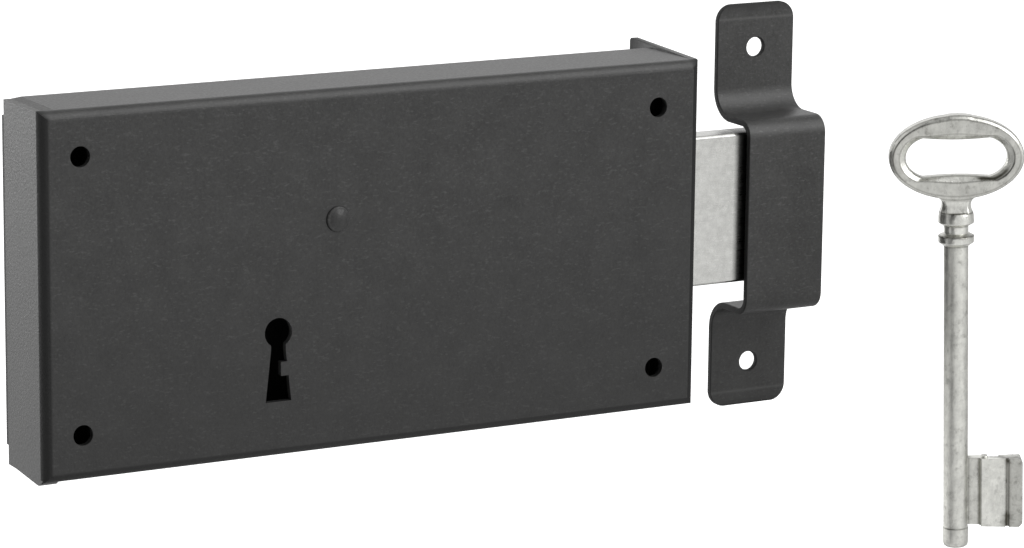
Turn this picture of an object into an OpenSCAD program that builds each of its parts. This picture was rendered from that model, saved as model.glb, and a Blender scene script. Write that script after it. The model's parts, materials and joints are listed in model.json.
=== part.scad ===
// Surface-mounted rim lock for a door, with a sliding bolt, a tumbler, a bit key and a keeper.
// X runs the way the bolt is thrown, Y runs into the door and Z is up. The origin is on the
// door's face, at the centre of the case.

/* [Case] */
// Length of the case, rear wall to fore-end
case_l = 160; // [156:1:200]
// Height of the case
case_h = 80; // [78:1:110]
// Depth of the case, front sheet to rim
case_d = 20; // [20:0.5:30]
// Thickness of the case sheet
sheet_t = 1.5; // [1:0.1:2]
// Outer radius of the folded edges
bend_r = 2.2; // [2:0.1:3]
// How far the fore-end laps over the door's edge
fore_lap = 7.5; // [4:0.5:15]
// How much the fore-end grows above and below the case at its rear edge
fore_rise = 1; // [0:0.1:2]
// Corner radius of the fore-end
fore_r = 1; // [0.5:0.1:3]
// Width of the rear wall's return tab at the rear corners
tab_w = 4; // [3:0.5:6]
// How much lower than the top wall the return tab lies
tab_step = 0.3; // [0.2:0.1:0.8]
// How far the rear wall's lower corner hangs below the bottom wall
tab_drop = 0.75; // [0:0.05:1]

/* [Back plate] */
// Thickness of the back plate
plate_t = 2; // [1.5:0.1:3]
// How far the back plate's left end stops short of the case walls
plate_gap = 2.5; // [1:0.1:3]
// Gap between the back plate's long edges and the case walls
plate_fit = 0.3; // [0.1:0.1:1]
// Depth of the lips bent forward at the fore-end
lip_d = 5; // [4:0.5:8]
// Height of each lip
lip_h = 12; // [8:0.5:12]
// Height of each tongue that enters the fore-end
tongue_h = 6; // [4:0.5:7]
// How far the tongues lie in front of the plate's rear face
tongue_step = 0.3; // [0.2:0.05:0.6]

/* [Fixing holes] */
// Spacing of the door screws along the case
screw_pitch_x = 140; // [136:1:140]
// Spacing of the door screws up the case
screw_pitch_z = 60; // [58:1:62]
// How far the door screws' centre lies from the lock's centre, towards the rear
screw_back = 1; // [0:0.1:2]
// Diameter of the door and keeper screw holes
screw_d = 4.5; // [4:0.1:5.5]

/* [Bolt] */
// Height of the bolt head
bolt_h = 35; // [28:0.5:36]
// Thickness of the bolt head
bolt_t = 6.5; // [5:0.1:8]
// Height of the bolt head's centre
bolt_z = 3.2; // [2:0.1:4]
// Distance from the door's face to the bolt head's rear face
bolt_set = 7.5; // [7.5:0.1:8.5]
// How far one turn of the key throws the bolt
throw = 24; // [20:0.5:25]
// Length of the bolt head
head_l = 46; // [44:0.5:50]
// Thickness of the bolt tail
tail_t = 3; // [2.5:0.1:3.5]
// Length of the bolt tail
tail_l = 116; // [112:1:118]
// Lap of the tail in the head
tail_lap = 8; // [8:0.5:10]
// Height of the tail's top edge
tail_top = 20; // [19.5:0.1:20.5]
// Edge break on the bolt head
bolt_edge = 0.5; // [0.3:0.1:0.8]
// Length of the guide bracket's foot
guide_foot_l = 14; // [11:0.5:16]
// Distance of the bracket's rivets from its upright
guide_rivet_in = 8; // [6:0.5:8]

/* [Key] */
// Diameter of the key's shank
shank_d = 5.6; // [5:0.1:6.5]
// Reach of the bit from the shank's centre line
bit_reach = 15.1; // [14.5:0.1:15.5]
// Length of the bit along the shank
bit_l = 16; // [12:0.1:16.4]
// Thickness of the bit at the shank
bit_root_t = 3.1; // [2.8:0.1:3.6]
// Thickness of the bit at its outer edge
bit_tip_t = 5.7; // [5:0.1:6]
// Length of the shank below the bit
tip_l = 5.7; // [4:0.1:8]
// Length of shank between the bit and the collars
shank_l = 49.6; // [40:0.1:60]
// Diameter of the two collars
collar_d = 8.1; // [7.5:0.1:9.5]
// Width of the bow
bow_w = 30.6; // [28:0.1:34]
// Height of the bow
bow_h = 20.4; // [19:0.1:24]
// Thickness of the bow
bow_t = 5; // [4:0.1:6]
// Width of the opening in the bow
bow_hole_w = 22.7; // [20:0.1:24]
// Height of the opening in the bow
bow_hole_h = 8.6; // [7:0.1:10]
// Distance of the standing key from the lock's centre along X
key_x = 133.1; // [130:0.1:150]
// Distance of the standing key in front of the door's face
key_out = 51.8; // [45:0.1:60]
// Height of the standing key's lower end, below the lock's centre
key_drop = 72.6; // [60:0.1:80]
// Angle by which the standing key is turned to the viewer
key_yaw = 30; // [0:1:60]
// Angle by which the standing key leans towards the lock
key_lean = 1.8; // [0:0.1:3]

/* [Keyhole] */
// Distance of the keyhole from the lock's centre, towards the rear
hole_x = 25.3; // [24.5:0.1:26]
// Height of the keyhole's centre below the lock's centre
hole_z = 12.3; // [12:0.1:12.6]
// Play of the shank in the keyhole
shank_play = 0.45; // [0.2:0.05:0.5]
// Play of the bit in the keyhole
bit_play = 0.2; // [0.15:0.05:0.4]
// Start of the ward tab, measured from the keyhole's centre
ward_from = 6.6; // [6:0.1:7]
// End of the ward tab, measured from the keyhole's centre
ward_to = 9.7; // [9:0.1:10]
// How far the ward tab stops from the keyhole's centre line
ward_in = 0.6; // [0.4:0.1:0.9]

/* [Stud] */
// Distance of the guide stud from the lock's centre, towards the rear
stud_x = 11; // [10.5:0.1:11.5]
// Height of the guide stud
stud_z = 11.5; // [11:0.1:12]
// Diameter of the stud's domed head
dome_d = 5.8; // [5:0.1:8]
// Height of the stud's domed head
dome_h = 1.5; // [1:0.1:2]
// Diameter of the stud where it guides the tail
stud_d = 5; // [4.5:0.1:5.2]
// Diameter of the stud's shoulder and its collar
shoulder_d = 8; // [7:0.1:8.6]
// Diameter of the cover screw
cover_d = 3; // [2.5:0.1:3.2]

/* [Tumbler] */
// Distance of the tumbler's pivot from the lock's centre, towards the rear
pivot_x = 50; // [48:0.5:52]
// Height of the tumbler's pivot
pivot_z = 28; // [27.5:0.1:28.5]
// Diameter of the pivot pin in the tumbler
pivot_d = 4; // [3.5:0.1:4.5]
// Thickness of the tumbler
tumbler_t = 2; // [1.5:0.1:2]
// Distance of the peg from the lock's centre, towards the rear
peg_x = 20; // [19.6:0.1:20.4]
// Width and height of the peg that drops into the tail's notches
peg_w = 4; // [3.5:0.1:4.2]
// How far the peg drops into a notch
peg_drop = 3.3; // [3.2:0.1:3.4]
// Thickness of the leaf spring
spring_t = 0.5; // [0.4:0.05:0.6]
// Width of the leaf spring
spring_w = 3; // [2:0.1:4]
// Distance of the spring's post from the lock's centre, towards the fore-end
post_x = 6; // [4:0.5:8]
// Diameter of the spring's post
post_d = 5; // [4:0.1:6]
// Length of spring that passes beyond its post
spring_end = 4; // [3:0.5:6]
// Length of the spring's foot on the tumbler
spring_foot = 9; // [6:0.5:10]

/* [Keeper] */
// Width of the keeper's strap
keeper_w = 20.6; // [16:0.1:26]
// Thickness of the keeper's strap
keeper_t = 1.5; // [1.2:0.1:3]
// Length of the keeper
keeper_l = 95.6; // [90:0.1:110]
// Height of the keeper's centre
keeper_z = 0.6; // [0.3:0.1:1.5]
// Gap between the case and the keeper
keeper_gap = 16.8; // [12:0.1:17]
// Depth of the bridge, door's face to its front
bridge_d = 16.5; // [16.3:0.1:24]
// Outer height of the bridge
bridge_h = 45.8; // [45.4:0.1:48]
// Outer radius of the bridge's corners
bridge_r = 4; // [3.2:0.1:5]
// Inner radius of the bends at the feet
foot_bend_r = 5.5; // [4:0.1:6]
// Corner radius of the feet
foot_r = 4; // [3:0.1:6]
// Spacing of the keeper's screw holes
keeper_pitch = 75; // [72:0.5:78]

/* [Hidden] */
$fn = 64;

// Clearances: a turning fit, a sliding fit, a loose gap and an overshoot for cuts.
turn_gap = 0.05;
slide_gap = 0.4;
loose_gap = 0.3;
over = 1;

// Planes along Y, from the door's face forward.
rim_y = -plate_t;
front_y = -plate_t - case_d;
inner_y = front_y + sheet_t;
bolt_back_y = -bolt_set;
bolt_front_y = -bolt_set - bolt_t;
bolt_mid_y = (bolt_back_y + bolt_front_y) / 2;
tail_back_y = bolt_mid_y + tail_t / 2;
tail_front_y = bolt_mid_y - tail_t / 2;
tumbler_front_y = tail_back_y + loose_gap;
tumbler_back_y = tumbler_front_y + tumbler_t;

// Case outline.
case_x = case_l / 2;
case_z = case_h / 2;
inner_x = case_x - sheet_t;
inner_z = case_z - sheet_t;
inner_r = max(bend_r - sheet_t, 0.2);
plate_z = inner_z - plate_gap;
close_z = inner_z - plate_fit;
plate_x1 = inner_x - 0.2;
plate_x0 = -case_x + 0.4;
lip_x0 = plate_x1 - sheet_t;
tongue_z = 17;

// Bolt.
tip_x = case_x + throw;
head_x0 = tip_x - head_l;
head_z0 = bolt_z - bolt_h / 2;
head_z1 = bolt_z + bolt_h / 2;
tail_x1 = head_x0 + tail_lap;
tail_x0 = tail_x1 - tail_l;
tail_z0 = -hole_z + 9.6;
rivet_d = 4;
rivet_x = head_x0 + tail_lap / 2;
rivet_z = [tail_z0 + 6, tail_top - 5];
slot_h = stud_d + 2 * 0.1;
talon_x = -hole_x + throw / 2;
talon_w = bit_tip_t + 1.3;
talon_z = -hole_z + bit_reach + 1;
notch_x0 = -peg_x - peg_w / 2 - 1.4;
notch_x1 = -peg_x + peg_w / 2 + loose_gap;
notch_z = tail_top - peg_drop - loose_gap;
guide_x = case_x - 10;
guide_z0 = head_z0 - 4.7;
guide_z1 = head_z1 + 5.3;
guide_rivet_x = guide_x - guide_rivet_in;
guide_rivet_rise = 13;
guide_rivet_z = [bolt_z - guide_rivet_rise, bolt_z + guide_rivet_rise];
small_rivet_d = 3;

// Tumbler and spring.
belly_z = -hole_z + bit_reach;
peg_z0 = tail_top + loose_gap;
lobe_r = 5;
lobe_side = 4;
belly_half = 8;
belly_ease = 3;
web_l = 13;
web_drop = 10;
heel_l = 12;
heel_top = pivot_z + 2;
stop_d = 3;
stop_x = -pivot_x - heel_l + 1.5;
stop_z = heel_top + 1.4 + stop_d / 2;
post_z = pivot_z + 3;
saddle_z = pivot_z - 0.8;

// Keyhole and key.
ring_d = shank_d + 2 * shank_play;
groove_r = 11.4;
groove_w = 1.2;
step_r = 5.35;
step_w = 0.5;
slot_top = 3.7;
slot_end = bit_reach + 0.25;
key_y = -key_out;
key_z0 = -key_drop;
bit_z0 = tip_l;
bit_z1 = tip_l + bit_l;
collar2_z0 = bit_z1 + shank_l;
collar2_h = 2.9;
ring_groove_h = 1.5;
collar1_z0 = collar2_z0 + collar2_h + ring_groove_h;
collar1_h = 3.2;
neck_z0 = collar1_z0 + collar1_h;
neck_h = 2.3;
bow_z = neck_z0 + neck_h + bow_h / 2;

// Keeper.
keeper_x0 = case_x + keeper_gap;
keeper_x1 = keeper_x0 + keeper_w;
bridge_zc = keeper_z;

// Draws a flat shape, given in X and Z, as a slab between two planes across Y.
module slab_y(y0, y1) {
    translate([0, y1, 0]) rotate([90, 0, 0]) linear_extrude(y1 - y0) children();
}

// Draws a flat shape, given in Y and Z, as a bar between two planes across X.
module bar_x(x0, x1) {
    translate([x0, 0, 0]) rotate([90, 0, 90]) linear_extrude(x1 - x0) children();
}

// A round rod along Y at a place in X and Z.
module rod_y(x, z, d, y0, y1) {
    translate([x, y1, z]) rotate([90, 0, 0]) cylinder(d = d, h = y1 - y0);
}

// A block between two corners.
module block(a, b) {
    translate(a) cube(b - a);
}

// Folded tray outline: half-width w, front plane at f, open past y1, front corners rounded by r.
module tray_outline(w, f, y1, r) {
    translate([-w, f + r]) square([2 * w, y1 - f - r]);
    translate([-w + r, f]) square([2 * w - 2 * r, r + 0.01]);
    translate([-w + r, f + r]) circle(r);
    translate([w - r, f + r]) circle(r);
}

// A tray with rounded front edges: two outlines, one along each direction, meet in mitres.
module tray(wx, wz, f, y1, r) {
    intersection() {
        translate([0, 0, -wz - over]) linear_extrude(2 * wz + 2 * over) tray_outline(wx, f, y1, r);
        bar_x(-wx - over, wx + over) mirror([1, -1]) tray_outline(wz, f, y1, r);
    }
}

// Keyhole outline in X and Z about the keyhole's centre; side is 1 or -1, the ward tab's side.
module keyhole_outline(side) {
    root = bit_root_t / 2 + bit_play;
    mouth = bit_tip_t / 2 + bit_play;
    circle(d = ring_d);
    difference() {
        polygon([[-root, 0], [-root, -slot_top], [-mouth, -slot_end],
                 [mouth, -slot_end], [root, -slot_top], [root, 0]]);
        translate([side > 0 ? ward_in : -ward_in - ring_d, -ward_to])
            square([ring_d, ward_to - ward_from]);
    }
}

// Fore-end outline in Y and Z: grows a little towards its rear edge, with rounded corners.
module fore_outline() {
    y0 = front_y + bend_r;
    z0 = case_z;
    z1 = case_z + fore_rise;
    polygon([[y0, -z0], [fore_lap - fore_r, -z1], [fore_lap - fore_r, -z1 + fore_r],
             [fore_lap, -z1 + fore_r], [fore_lap, z1 - fore_r], [fore_lap - fore_r, z1 - fore_r],
             [fore_lap - fore_r, z1], [y0, z0]]);
    for (s = [-1, 1]) translate([fore_lap - fore_r, s * (z1 - fore_r)]) circle(fore_r);
}

// Folded case: front sheet, three walls and the fore-end that laps the door's edge.
module case_shell() {
    color([0.27, 0.27, 0.27])
    difference() {
        union() {
            tray(case_x, case_z, front_y, rim_y, bend_r);
            bar_x(inner_x, case_x) fore_outline();
            low_tab();
        }
        tray(inner_x, inner_z, inner_y, rim_y + over, inner_r);
        corner_step();
        for (sx = [-1, 1]) for (sz = [-1, 1])
            rod_y(sx * screw_pitch_x / 2 - screw_back, sz * screw_pitch_z / 2, screw_d,
                  front_y - over, inner_y + over);
        rod_y(-stud_x, stud_z, rivet_d, front_y - over, inner_y + over);
        translate([-hole_x, 0, -hole_z]) slab_y(front_y - over, inner_y + over) keyhole_outline(1);
        block([inner_x - over, bolt_front_y - slide_gap, head_z0 - slide_gap],
              [case_x + over, bolt_back_y + slide_gap, head_z1 + slide_gap]);
        for (s = [-1, 1])
            block([inner_x - over, rim_y - 0.2, s * tongue_z - tongue_h / 2 - 0.2],
                  [case_x + over, 0.2, s * tongue_z + tongue_h / 2 + 0.2]);
    }
}

// The rear wall's upper return tab lies a little lower than the top wall.
module corner_step() {
    block([-case_x - over, front_y + bend_r, case_z - tab_step],
          [-case_x + tab_w, rim_y + over, case_z + over]);
}

// The rear wall's lower return tab slopes out below the bottom wall towards the front.
module low_tab() {
    y1 = front_y + bend_r / 3;
    bar_x(-case_x, -case_x + tab_w)
        polygon([[rim_y, -inner_z - sheet_t / 2], [rim_y, -case_z + tab_step],
                 [front_y + 2 * bend_r, -case_z - tab_drop], [front_y + 1.4 * bend_r, -case_z - tab_drop],
                 [y1, -case_z + sheet_t / 2], [y1 + sheet_t, -inner_z - sheet_t / 2]]);
}

// Flat plate that closes the case, narrower at its left end, with lips and tongues at the fore-end.
module back_plate() {
    color([0.36, 0.36, 0.36])
    difference() {
        union() {
            block([plate_x0, rim_y, -plate_z], [plate_x1, 0, plate_z]);
            block([-case_x + tab_w, rim_y, -close_z], [plate_x1, 0, close_z]);
            for (s = [-1, 1]) lip(s);
            for (s = [-1, 1])
                block([plate_x1 - over, rim_y, s * tongue_z - tongue_h / 2],
                      [case_x, -tongue_step, s * tongue_z + tongue_h / 2]);
        }
        for (sx = [-1, 1]) for (sz = [-1, 1])
            rod_y(sx * screw_pitch_x / 2 - screw_back, sz * screw_pitch_z / 2, screw_d, rim_y - over, over);
        translate([-hole_x, 0, -hole_z]) slab_y(rim_y - over, over) keyhole_outline(-1);
        cover_hole();
        rod_y(-pivot_x, pivot_z, small_rivet_d, rim_y - over, over);
        rod_y(stop_x, stop_z, stop_d, rim_y - over, over);
        rod_y(post_x, post_z, small_rivet_d, rim_y - over, over);
        for (z = guide_rivet_z) rod_y(guide_rivet_x, z, small_rivet_d, rim_y - over, over);
    }
}

// One lip of the back plate, bent forward against the fore-end.
module lip(s) {
    z0 = s > 0 ? plate_z - lip_h : -plate_z;
    block([lip_x0, rim_y - lip_d, z0], [plate_x1, rim_y + 0.5, z0 + lip_h]);
}

// Countersunk hole for the cover screw, open to the rear.
module cover_hole() {
    rod_y(-stud_x, stud_z, cover_d + 2 * turn_gap, rim_y - over, over);
    translate([-stud_x, 0, stud_z]) rotate([90, 0, 0])
        cylinder(d1 = 2 * cover_d, d2 = cover_d + 2 * turn_gap, h = cover_d / 2);
}

// Countersunk screw with a slot, from the rear into the guide stud.
module cover_screw() {
    head_d = 2 * cover_d - 0.1;
    slot_d = 0.6;
    color([0.62, 0.62, 0.60])
    difference() {
        union() {
            rod_y(-stud_x, stud_z, cover_d, rim_y - 6, -cover_d / 2 + 0.2);
            translate([-stud_x, 0, stud_z]) rotate([90, 0, 0])
                cylinder(d1 = head_d, d2 = cover_d, h = cover_d / 2);
        }
        block([-stud_x - cover_d - over, -slot_d, stud_z - slot_d / 2],
              [-stud_x + cover_d + over, over, stud_z + slot_d / 2]);
    }
}

// Stud riveted in the front sheet: domed head, neck, shoulder, guide and tapped end.
module guide_stud() {
    dome_r = (pow(dome_d / 2, 2) + pow(dome_h, 2)) / (2 * dome_h);
    color([0.27, 0.27, 0.27])
    difference() {
        union() {
            intersection() {
                translate([-stud_x, front_y - dome_h + dome_r, stud_z]) sphere(dome_r);
                rod_y(-stud_x, stud_z, dome_d + over, front_y - dome_h - over, front_y);
            }
            rod_y(-stud_x, stud_z, rivet_d - 2 * turn_gap, front_y - 0.1, inner_y + 0.1);
            rod_y(-stud_x, stud_z, shoulder_d, inner_y, tail_front_y - turn_gap);
            rod_y(-stud_x, stud_z, stud_d, tail_front_y - 0.2, rim_y);
        }
        rod_y(-stud_x, stud_z, cover_d, rim_y - 7, over);
    }
}

// Spacer tube on the stud, between the washer and the back plate.
module stud_collar() {
    color([0.70, 0.68, 0.60])
    difference() {
        rod_y(-stud_x, stud_z, shoulder_d, tail_back_y + turn_gap + 0.5, rim_y);
        rod_y(-stud_x, stud_z, stud_d + 2 * turn_gap, tail_back_y, over);
    }
}

// Thin washer on the stud that the tail slides against.
module stud_washer() {
    color([0.72, 0.72, 0.70])
    difference() {
        rod_y(-stud_x, stud_z, shoulder_d + 0.6, tail_back_y + turn_gap, tail_back_y + turn_gap + 0.5);
        rod_y(-stud_x, stud_z, stud_d + 2 * turn_gap, tail_back_y - over, rim_y);
    }
}

// Bolt head: a flat bar with broken edges, slit at its rear for the tail.
module bolt_head() {
    e = bolt_edge;
    color([0.78, 0.78, 0.76])
    difference() {
        bar_x(head_x0, tip_x)
            polygon([[bolt_front_y + e, head_z0], [bolt_back_y - e, head_z0],
                     [bolt_back_y, head_z0 + e], [bolt_back_y, head_z1 - e],
                     [bolt_back_y - e, head_z1], [bolt_front_y + e, head_z1],
                     [bolt_front_y, head_z1 - e], [bolt_front_y, head_z0 + e]]);
        block([head_x0 - over, tail_front_y, head_z0 - over], [tail_x1, tail_back_y, head_z1 + over]);
        for (z = rivet_z) rod_y(rivet_x, z, rivet_d, bolt_front_y - over, bolt_back_y + over);
    }
}

// Bolt tail: slotted for the stud, with the talon for the key and two notches for the peg.
module bolt_tail() {
    color([0.66, 0.66, 0.64])
    difference() {
        slab_y(tail_front_y, tail_back_y) difference() {
            translate([tail_x0, tail_z0]) square([tail_l, tail_top - tail_z0]);
            stud_slot();
            translate([talon_x - talon_w / 2, tail_z0 - over]) square([talon_w, talon_z - tail_z0 + over]);
            for (dx = [0, throw]) translate([notch_x0 + dx, notch_z])
                square([notch_x1 - notch_x0, tail_top - notch_z + over]);
        }
        for (z = rivet_z) rod_y(rivet_x, z, rivet_d, tail_front_y - over, tail_back_y + over);
    }
}

// Slot with round ends, as long as the throw.
module stud_slot() {
    translate([-stud_x, stud_z - slot_h / 2]) square([throw, slot_h]);
    for (dx = [0, throw]) translate([-stud_x + dx, stud_z]) circle(d = slot_h);
}

// Two flush rivets through head and tail.
module bolt_rivets() {
    color([0.72, 0.72, 0.70])
    for (z = rivet_z) rod_y(rivet_x, z, rivet_d - 2 * turn_gap, bolt_front_y, bolt_back_y);
}

// Angle bracket behind the fore-end with a second opening for the bolt head.
module bolt_guide() {
    color([0.58, 0.58, 0.56])
    difference() {
        union() {
            block([guide_x, inner_y + loose_gap, guide_z0], [guide_x + sheet_t, rim_y, guide_z1]);
            block([guide_x - guide_foot_l, rim_y - sheet_t, guide_z0], [guide_x + over / 2, rim_y, guide_z1]);
        }
        block([guide_x - over, bolt_front_y - slide_gap, head_z0 - slide_gap],
              [guide_x + sheet_t + over, bolt_back_y + slide_gap, head_z1 + slide_gap]);
        for (z = guide_rivet_z)
            rod_y(guide_rivet_x, z, small_rivet_d, rim_y - sheet_t - over, over);
    }
}

// Two rivets that hold the bracket's foot to the back plate.
module guide_rivets() {
    color([0.72, 0.72, 0.70])
    for (z = guide_rivet_z) {
        rod_y(guide_rivet_x, z, small_rivet_d - 2 * turn_gap, rim_y - sheet_t - small_rivet_d / 15, 0);
        rod_y(guide_rivet_x, z, small_rivet_d * 5 / 3, rim_y - sheet_t - small_rivet_d / 3, rim_y - sheet_t);
    }
}

// Tumbler: pivots at the rear, its belly hangs over the key and its heel meets the stop.
module tumbler() {
    color([0.62, 0.58, 0.48])
    difference() {
        union() {
            rod_y(-pivot_x, pivot_z, 2 * lobe_r, tumbler_front_y, tumbler_back_y);
            slab_y(tumbler_front_y, tumbler_back_y)
                polygon([[-pivot_x - heel_l, pivot_z - lobe_side], [-pivot_x - heel_l, heel_top],
                         [-pivot_x, heel_top], [-pivot_x + lobe_side, pivot_z + lobe_r - 2.2],
                         [-peg_x - peg_w, saddle_z], [-peg_x + 3, saddle_z], [-peg_x + 3, tail_top - 3],
                         [-peg_x + 2, belly_z], [-hole_x - belly_half, belly_z],
                         [-hole_x - belly_half - belly_ease, belly_z + belly_ease],
                         [-hole_x - web_l, pivot_z - web_drop],
                         [-pivot_x + lobe_side, pivot_z - lobe_r + 1]]);
        }
        rod_y(-pivot_x, pivot_z, pivot_d + 2 * turn_gap, tumbler_front_y - over, tumbler_back_y + over);
        rod_y(-peg_x, peg_z0 + peg_w / 2, small_rivet_d, tumbler_front_y - over, tumbler_back_y + over);
    }
}

// Square peg riveted in the tumbler; it reaches forward over the tail's top edge.
module tumbler_peg() {
    color([0.72, 0.72, 0.70]) {
        block([-peg_x - peg_w / 2, tail_front_y - 0.8, peg_z0],
              [-peg_x + peg_w / 2, tumbler_front_y, peg_z0 + peg_w]);
        rod_y(-peg_x, peg_z0 + peg_w / 2, small_rivet_d - 2 * turn_gap,
              tumbler_front_y - 0.2, tumbler_back_y);
    }
}

// Pivot pin: riveted in the back plate, with a shoulder behind the tumbler.
module tumbler_pivot() {
    color([0.72, 0.72, 0.70]) {
        rod_y(-pivot_x, pivot_z, small_rivet_d - 2 * turn_gap, rim_y - 0.2, 0);
        rod_y(-pivot_x, pivot_z, pivot_d + 3, tumbler_back_y + turn_gap, rim_y);
        rod_y(-pivot_x, pivot_z, pivot_d, tumbler_front_y - 1.3, tumbler_back_y + 0.2);
    }
}

// Washer pressed on the pivot pin's free end.
module pivot_washer() {
    color([0.66, 0.66, 0.64])
    difference() {
        rod_y(-pivot_x, pivot_z, pivot_d + 3, tumbler_front_y - turn_gap - 0.8, tumbler_front_y - turn_gap);
        rod_y(-pivot_x, pivot_z, pivot_d + 2 * turn_gap, tumbler_front_y - pivot_d, tumbler_back_y);
    }
}

// Pin that the tumbler's heel meets when the peg is down.
module tumbler_stop() {
    color([0.72, 0.72, 0.70])
    rod_y(stop_x, stop_z, stop_d - 2 * turn_gap, tumbler_front_y, 0);
}

// Leaf spring that presses the tumbler down: level in its post, then sloped to the tumbler.
module tumbler_spring() {
    foot_z = saddle_z + 2 * turn_gap;
    foot_x = -peg_x - peg_w * 3 / 4;
    bend = [foot_x + spring_foot, foot_z + 1.8 * spring_t];
    level_x = post_x - 0.6 * post_d;
    mid_y = (tumbler_front_y + tumbler_back_y) / 2;
    up = [0, spring_t];
    level = post_z - spring_t / 2;
    color([0.40, 0.42, 0.46])
    slab_y(mid_y - spring_w / 2, mid_y + spring_w / 2)
        polygon([[foot_x, foot_z], bend, [level_x, level], [post_x + spring_end, level],
                 [post_x + spring_end, level] + up, [level_x, level] + up, bend + up,
                 [foot_x, foot_z] + up]);
}

// Slit post in the back plate that holds the spring's end.
module spring_post() {
    color([0.72, 0.72, 0.70])
    difference() {
        union() {
            rod_y(post_x, post_z, small_rivet_d - 2 * turn_gap, rim_y - 0.2, 0);
            rod_y(post_x, post_z, post_d, tumbler_front_y - 1.5, rim_y);
        }
        block([post_x - post_d, tumbler_front_y - 1.5 - over, post_z - spring_t / 2 - turn_gap],
              [post_x + post_d, tumbler_front_y + spring_w / 2 + tumbler_t / 2 + turn_gap,
               post_z + spring_t / 2 + turn_gap]);
    }
}

// A quarter of a ring in the plane, from radius r to r + t; a and b pick the quarter.
module quarter_ring(r, t, a, b) {
    intersection() {
        difference() {
            circle(r + t);
            circle(r);
        }
        translate([a > 0 ? 0 : -r - t - over, b > 0 ? 0 : -r - t - over]) square(r + t + over);
    }
}

// Half of the keeper's strap in Y and Z; s is 1 above the bridge's centre and -1 below it.
module strap_half(s) {
    riser = bridge_zc + s * bridge_h / 2;
    bend_z = riser + s * foot_bend_r;
    foot_end = keeper_z + s * keeper_l / 2;
    corner_z = riser - s * bridge_r;
    bend_y = -keeper_t - foot_bend_r;
    corner_y = -bridge_d + bridge_r;
    translate([-keeper_t, min(bend_z, foot_end)]) square([keeper_t, abs(foot_end - bend_z)]);
    translate([bend_y, bend_z]) quarter_ring(foot_bend_r, keeper_t, 1, -s);
    translate([corner_y, s > 0 ? riser - keeper_t : riser]) square([bend_y - corner_y, keeper_t]);
    translate([corner_y, corner_z]) quarter_ring(bridge_r - keeper_t, keeper_t, -1, s);
    translate([-bridge_d, min(corner_z, bridge_zc)]) square([keeper_t, abs(corner_z - bridge_zc)]);
}

// Plan of the keeper in X and Z, with rounded corners.
module keeper_plan() {
    z0 = keeper_z - keeper_l / 2;
    z1 = keeper_z + keeper_l / 2;
    translate([keeper_x0, z0 + foot_r]) square([keeper_w, keeper_l - 2 * foot_r]);
    translate([keeper_x0 + foot_r, z0]) square([keeper_w - 2 * foot_r, keeper_l]);
    for (x = [keeper_x0 + foot_r, keeper_x1 - foot_r]) for (z = [z0 + foot_r, z1 - foot_r])
        translate([x, z]) circle(foot_r);
}

// Keeper: a bent strap with two feet and a bridge that holds the thrown bolt.
module keeper() {
    color([0.29, 0.29, 0.29])
    difference() {
        intersection() {
            bar_x(keeper_x0, keeper_x1) for (s = [-1, 1]) strap_half(s);
            slab_y(-bridge_d - over, over) keeper_plan();
        }
        for (s = [-1, 1])
            rod_y((keeper_x0 + keeper_x1) / 2, keeper_z + s * keeper_pitch / 2, screw_d,
                  -keeper_t - over, over);
    }
}

// Half outline of the turned part of the key, as radius and height from its lower end.
function shank_profile() = let (r = shank_d / 2, c = collar_d / 2, e = 0.5)
    [[0, 0], [r - 1.5, 0], [r - 0.7, 0.35], [r - 0.15, 1.2], [r, 2.2],
     [r, tip_l - 0.95], [r - 0.25, tip_l - 0.75], [r, tip_l - 0.55],
     [r, collar2_z0], [c - e, collar2_z0], [c, collar2_z0 + e],
     [c, collar2_z0 + collar2_h - e], [c - e, collar2_z0 + collar2_h],
     [r, collar2_z0 + collar2_h], [r, collar1_z0], [c - e, collar1_z0], [c, collar1_z0 + e],
     [c, neck_z0 - e], [c - e, neck_z0], [0, neck_z0]];

// Section of the bit across the shank: a wedge with grooves down both faces.
module bit_section() {
    r0 = shank_d / 2 - 0.6;
    function half(r) = bit_root_t / 2 + (bit_tip_t - bit_root_t) / 2 * (r - r0) / (bit_reach - r0);
    g0 = ward_from - 0.2;
    g1 = ward_to + 0.2;
    s0 = step_r - step_w / 2;
    s1 = step_r + step_w / 2;
    c0 = groove_r - groove_w / 2;
    c1 = groove_r + groove_w / 2;
    polygon([[r0, -half(r0) + 0.2], [s0, -half(s0) + 0.8], [s1, -half(s1)],
             [c0, -half(c0)], [c0 + groove_w / 4, -half(c0) + groove_w],
             [c1 - groove_w / 4, -half(c1) + groove_w],
             [c1, -half(c1)], [bit_reach - 0.8, -half(bit_reach)], [bit_reach, -half(bit_reach) + 0.8],
             [bit_reach, half(bit_reach) - 0.8], [bit_reach - 0.8, half(bit_reach)],
             [g1, half(g1)], [g1, ward_in - 0.2], [g0, ward_in - 0.2], [g0, half(g0)],
             [r0, half(r0)]]);
}

// A point on an oval of half-width a and half-height b; n makes it squarer than an ellipse.
function oval(a, b, n, t) = [a * sign(cos(t)) * pow(abs(cos(t)), 2 / n),
                             b * sign(sin(t)) * pow(abs(sin(t)), 2 / n)];

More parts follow.
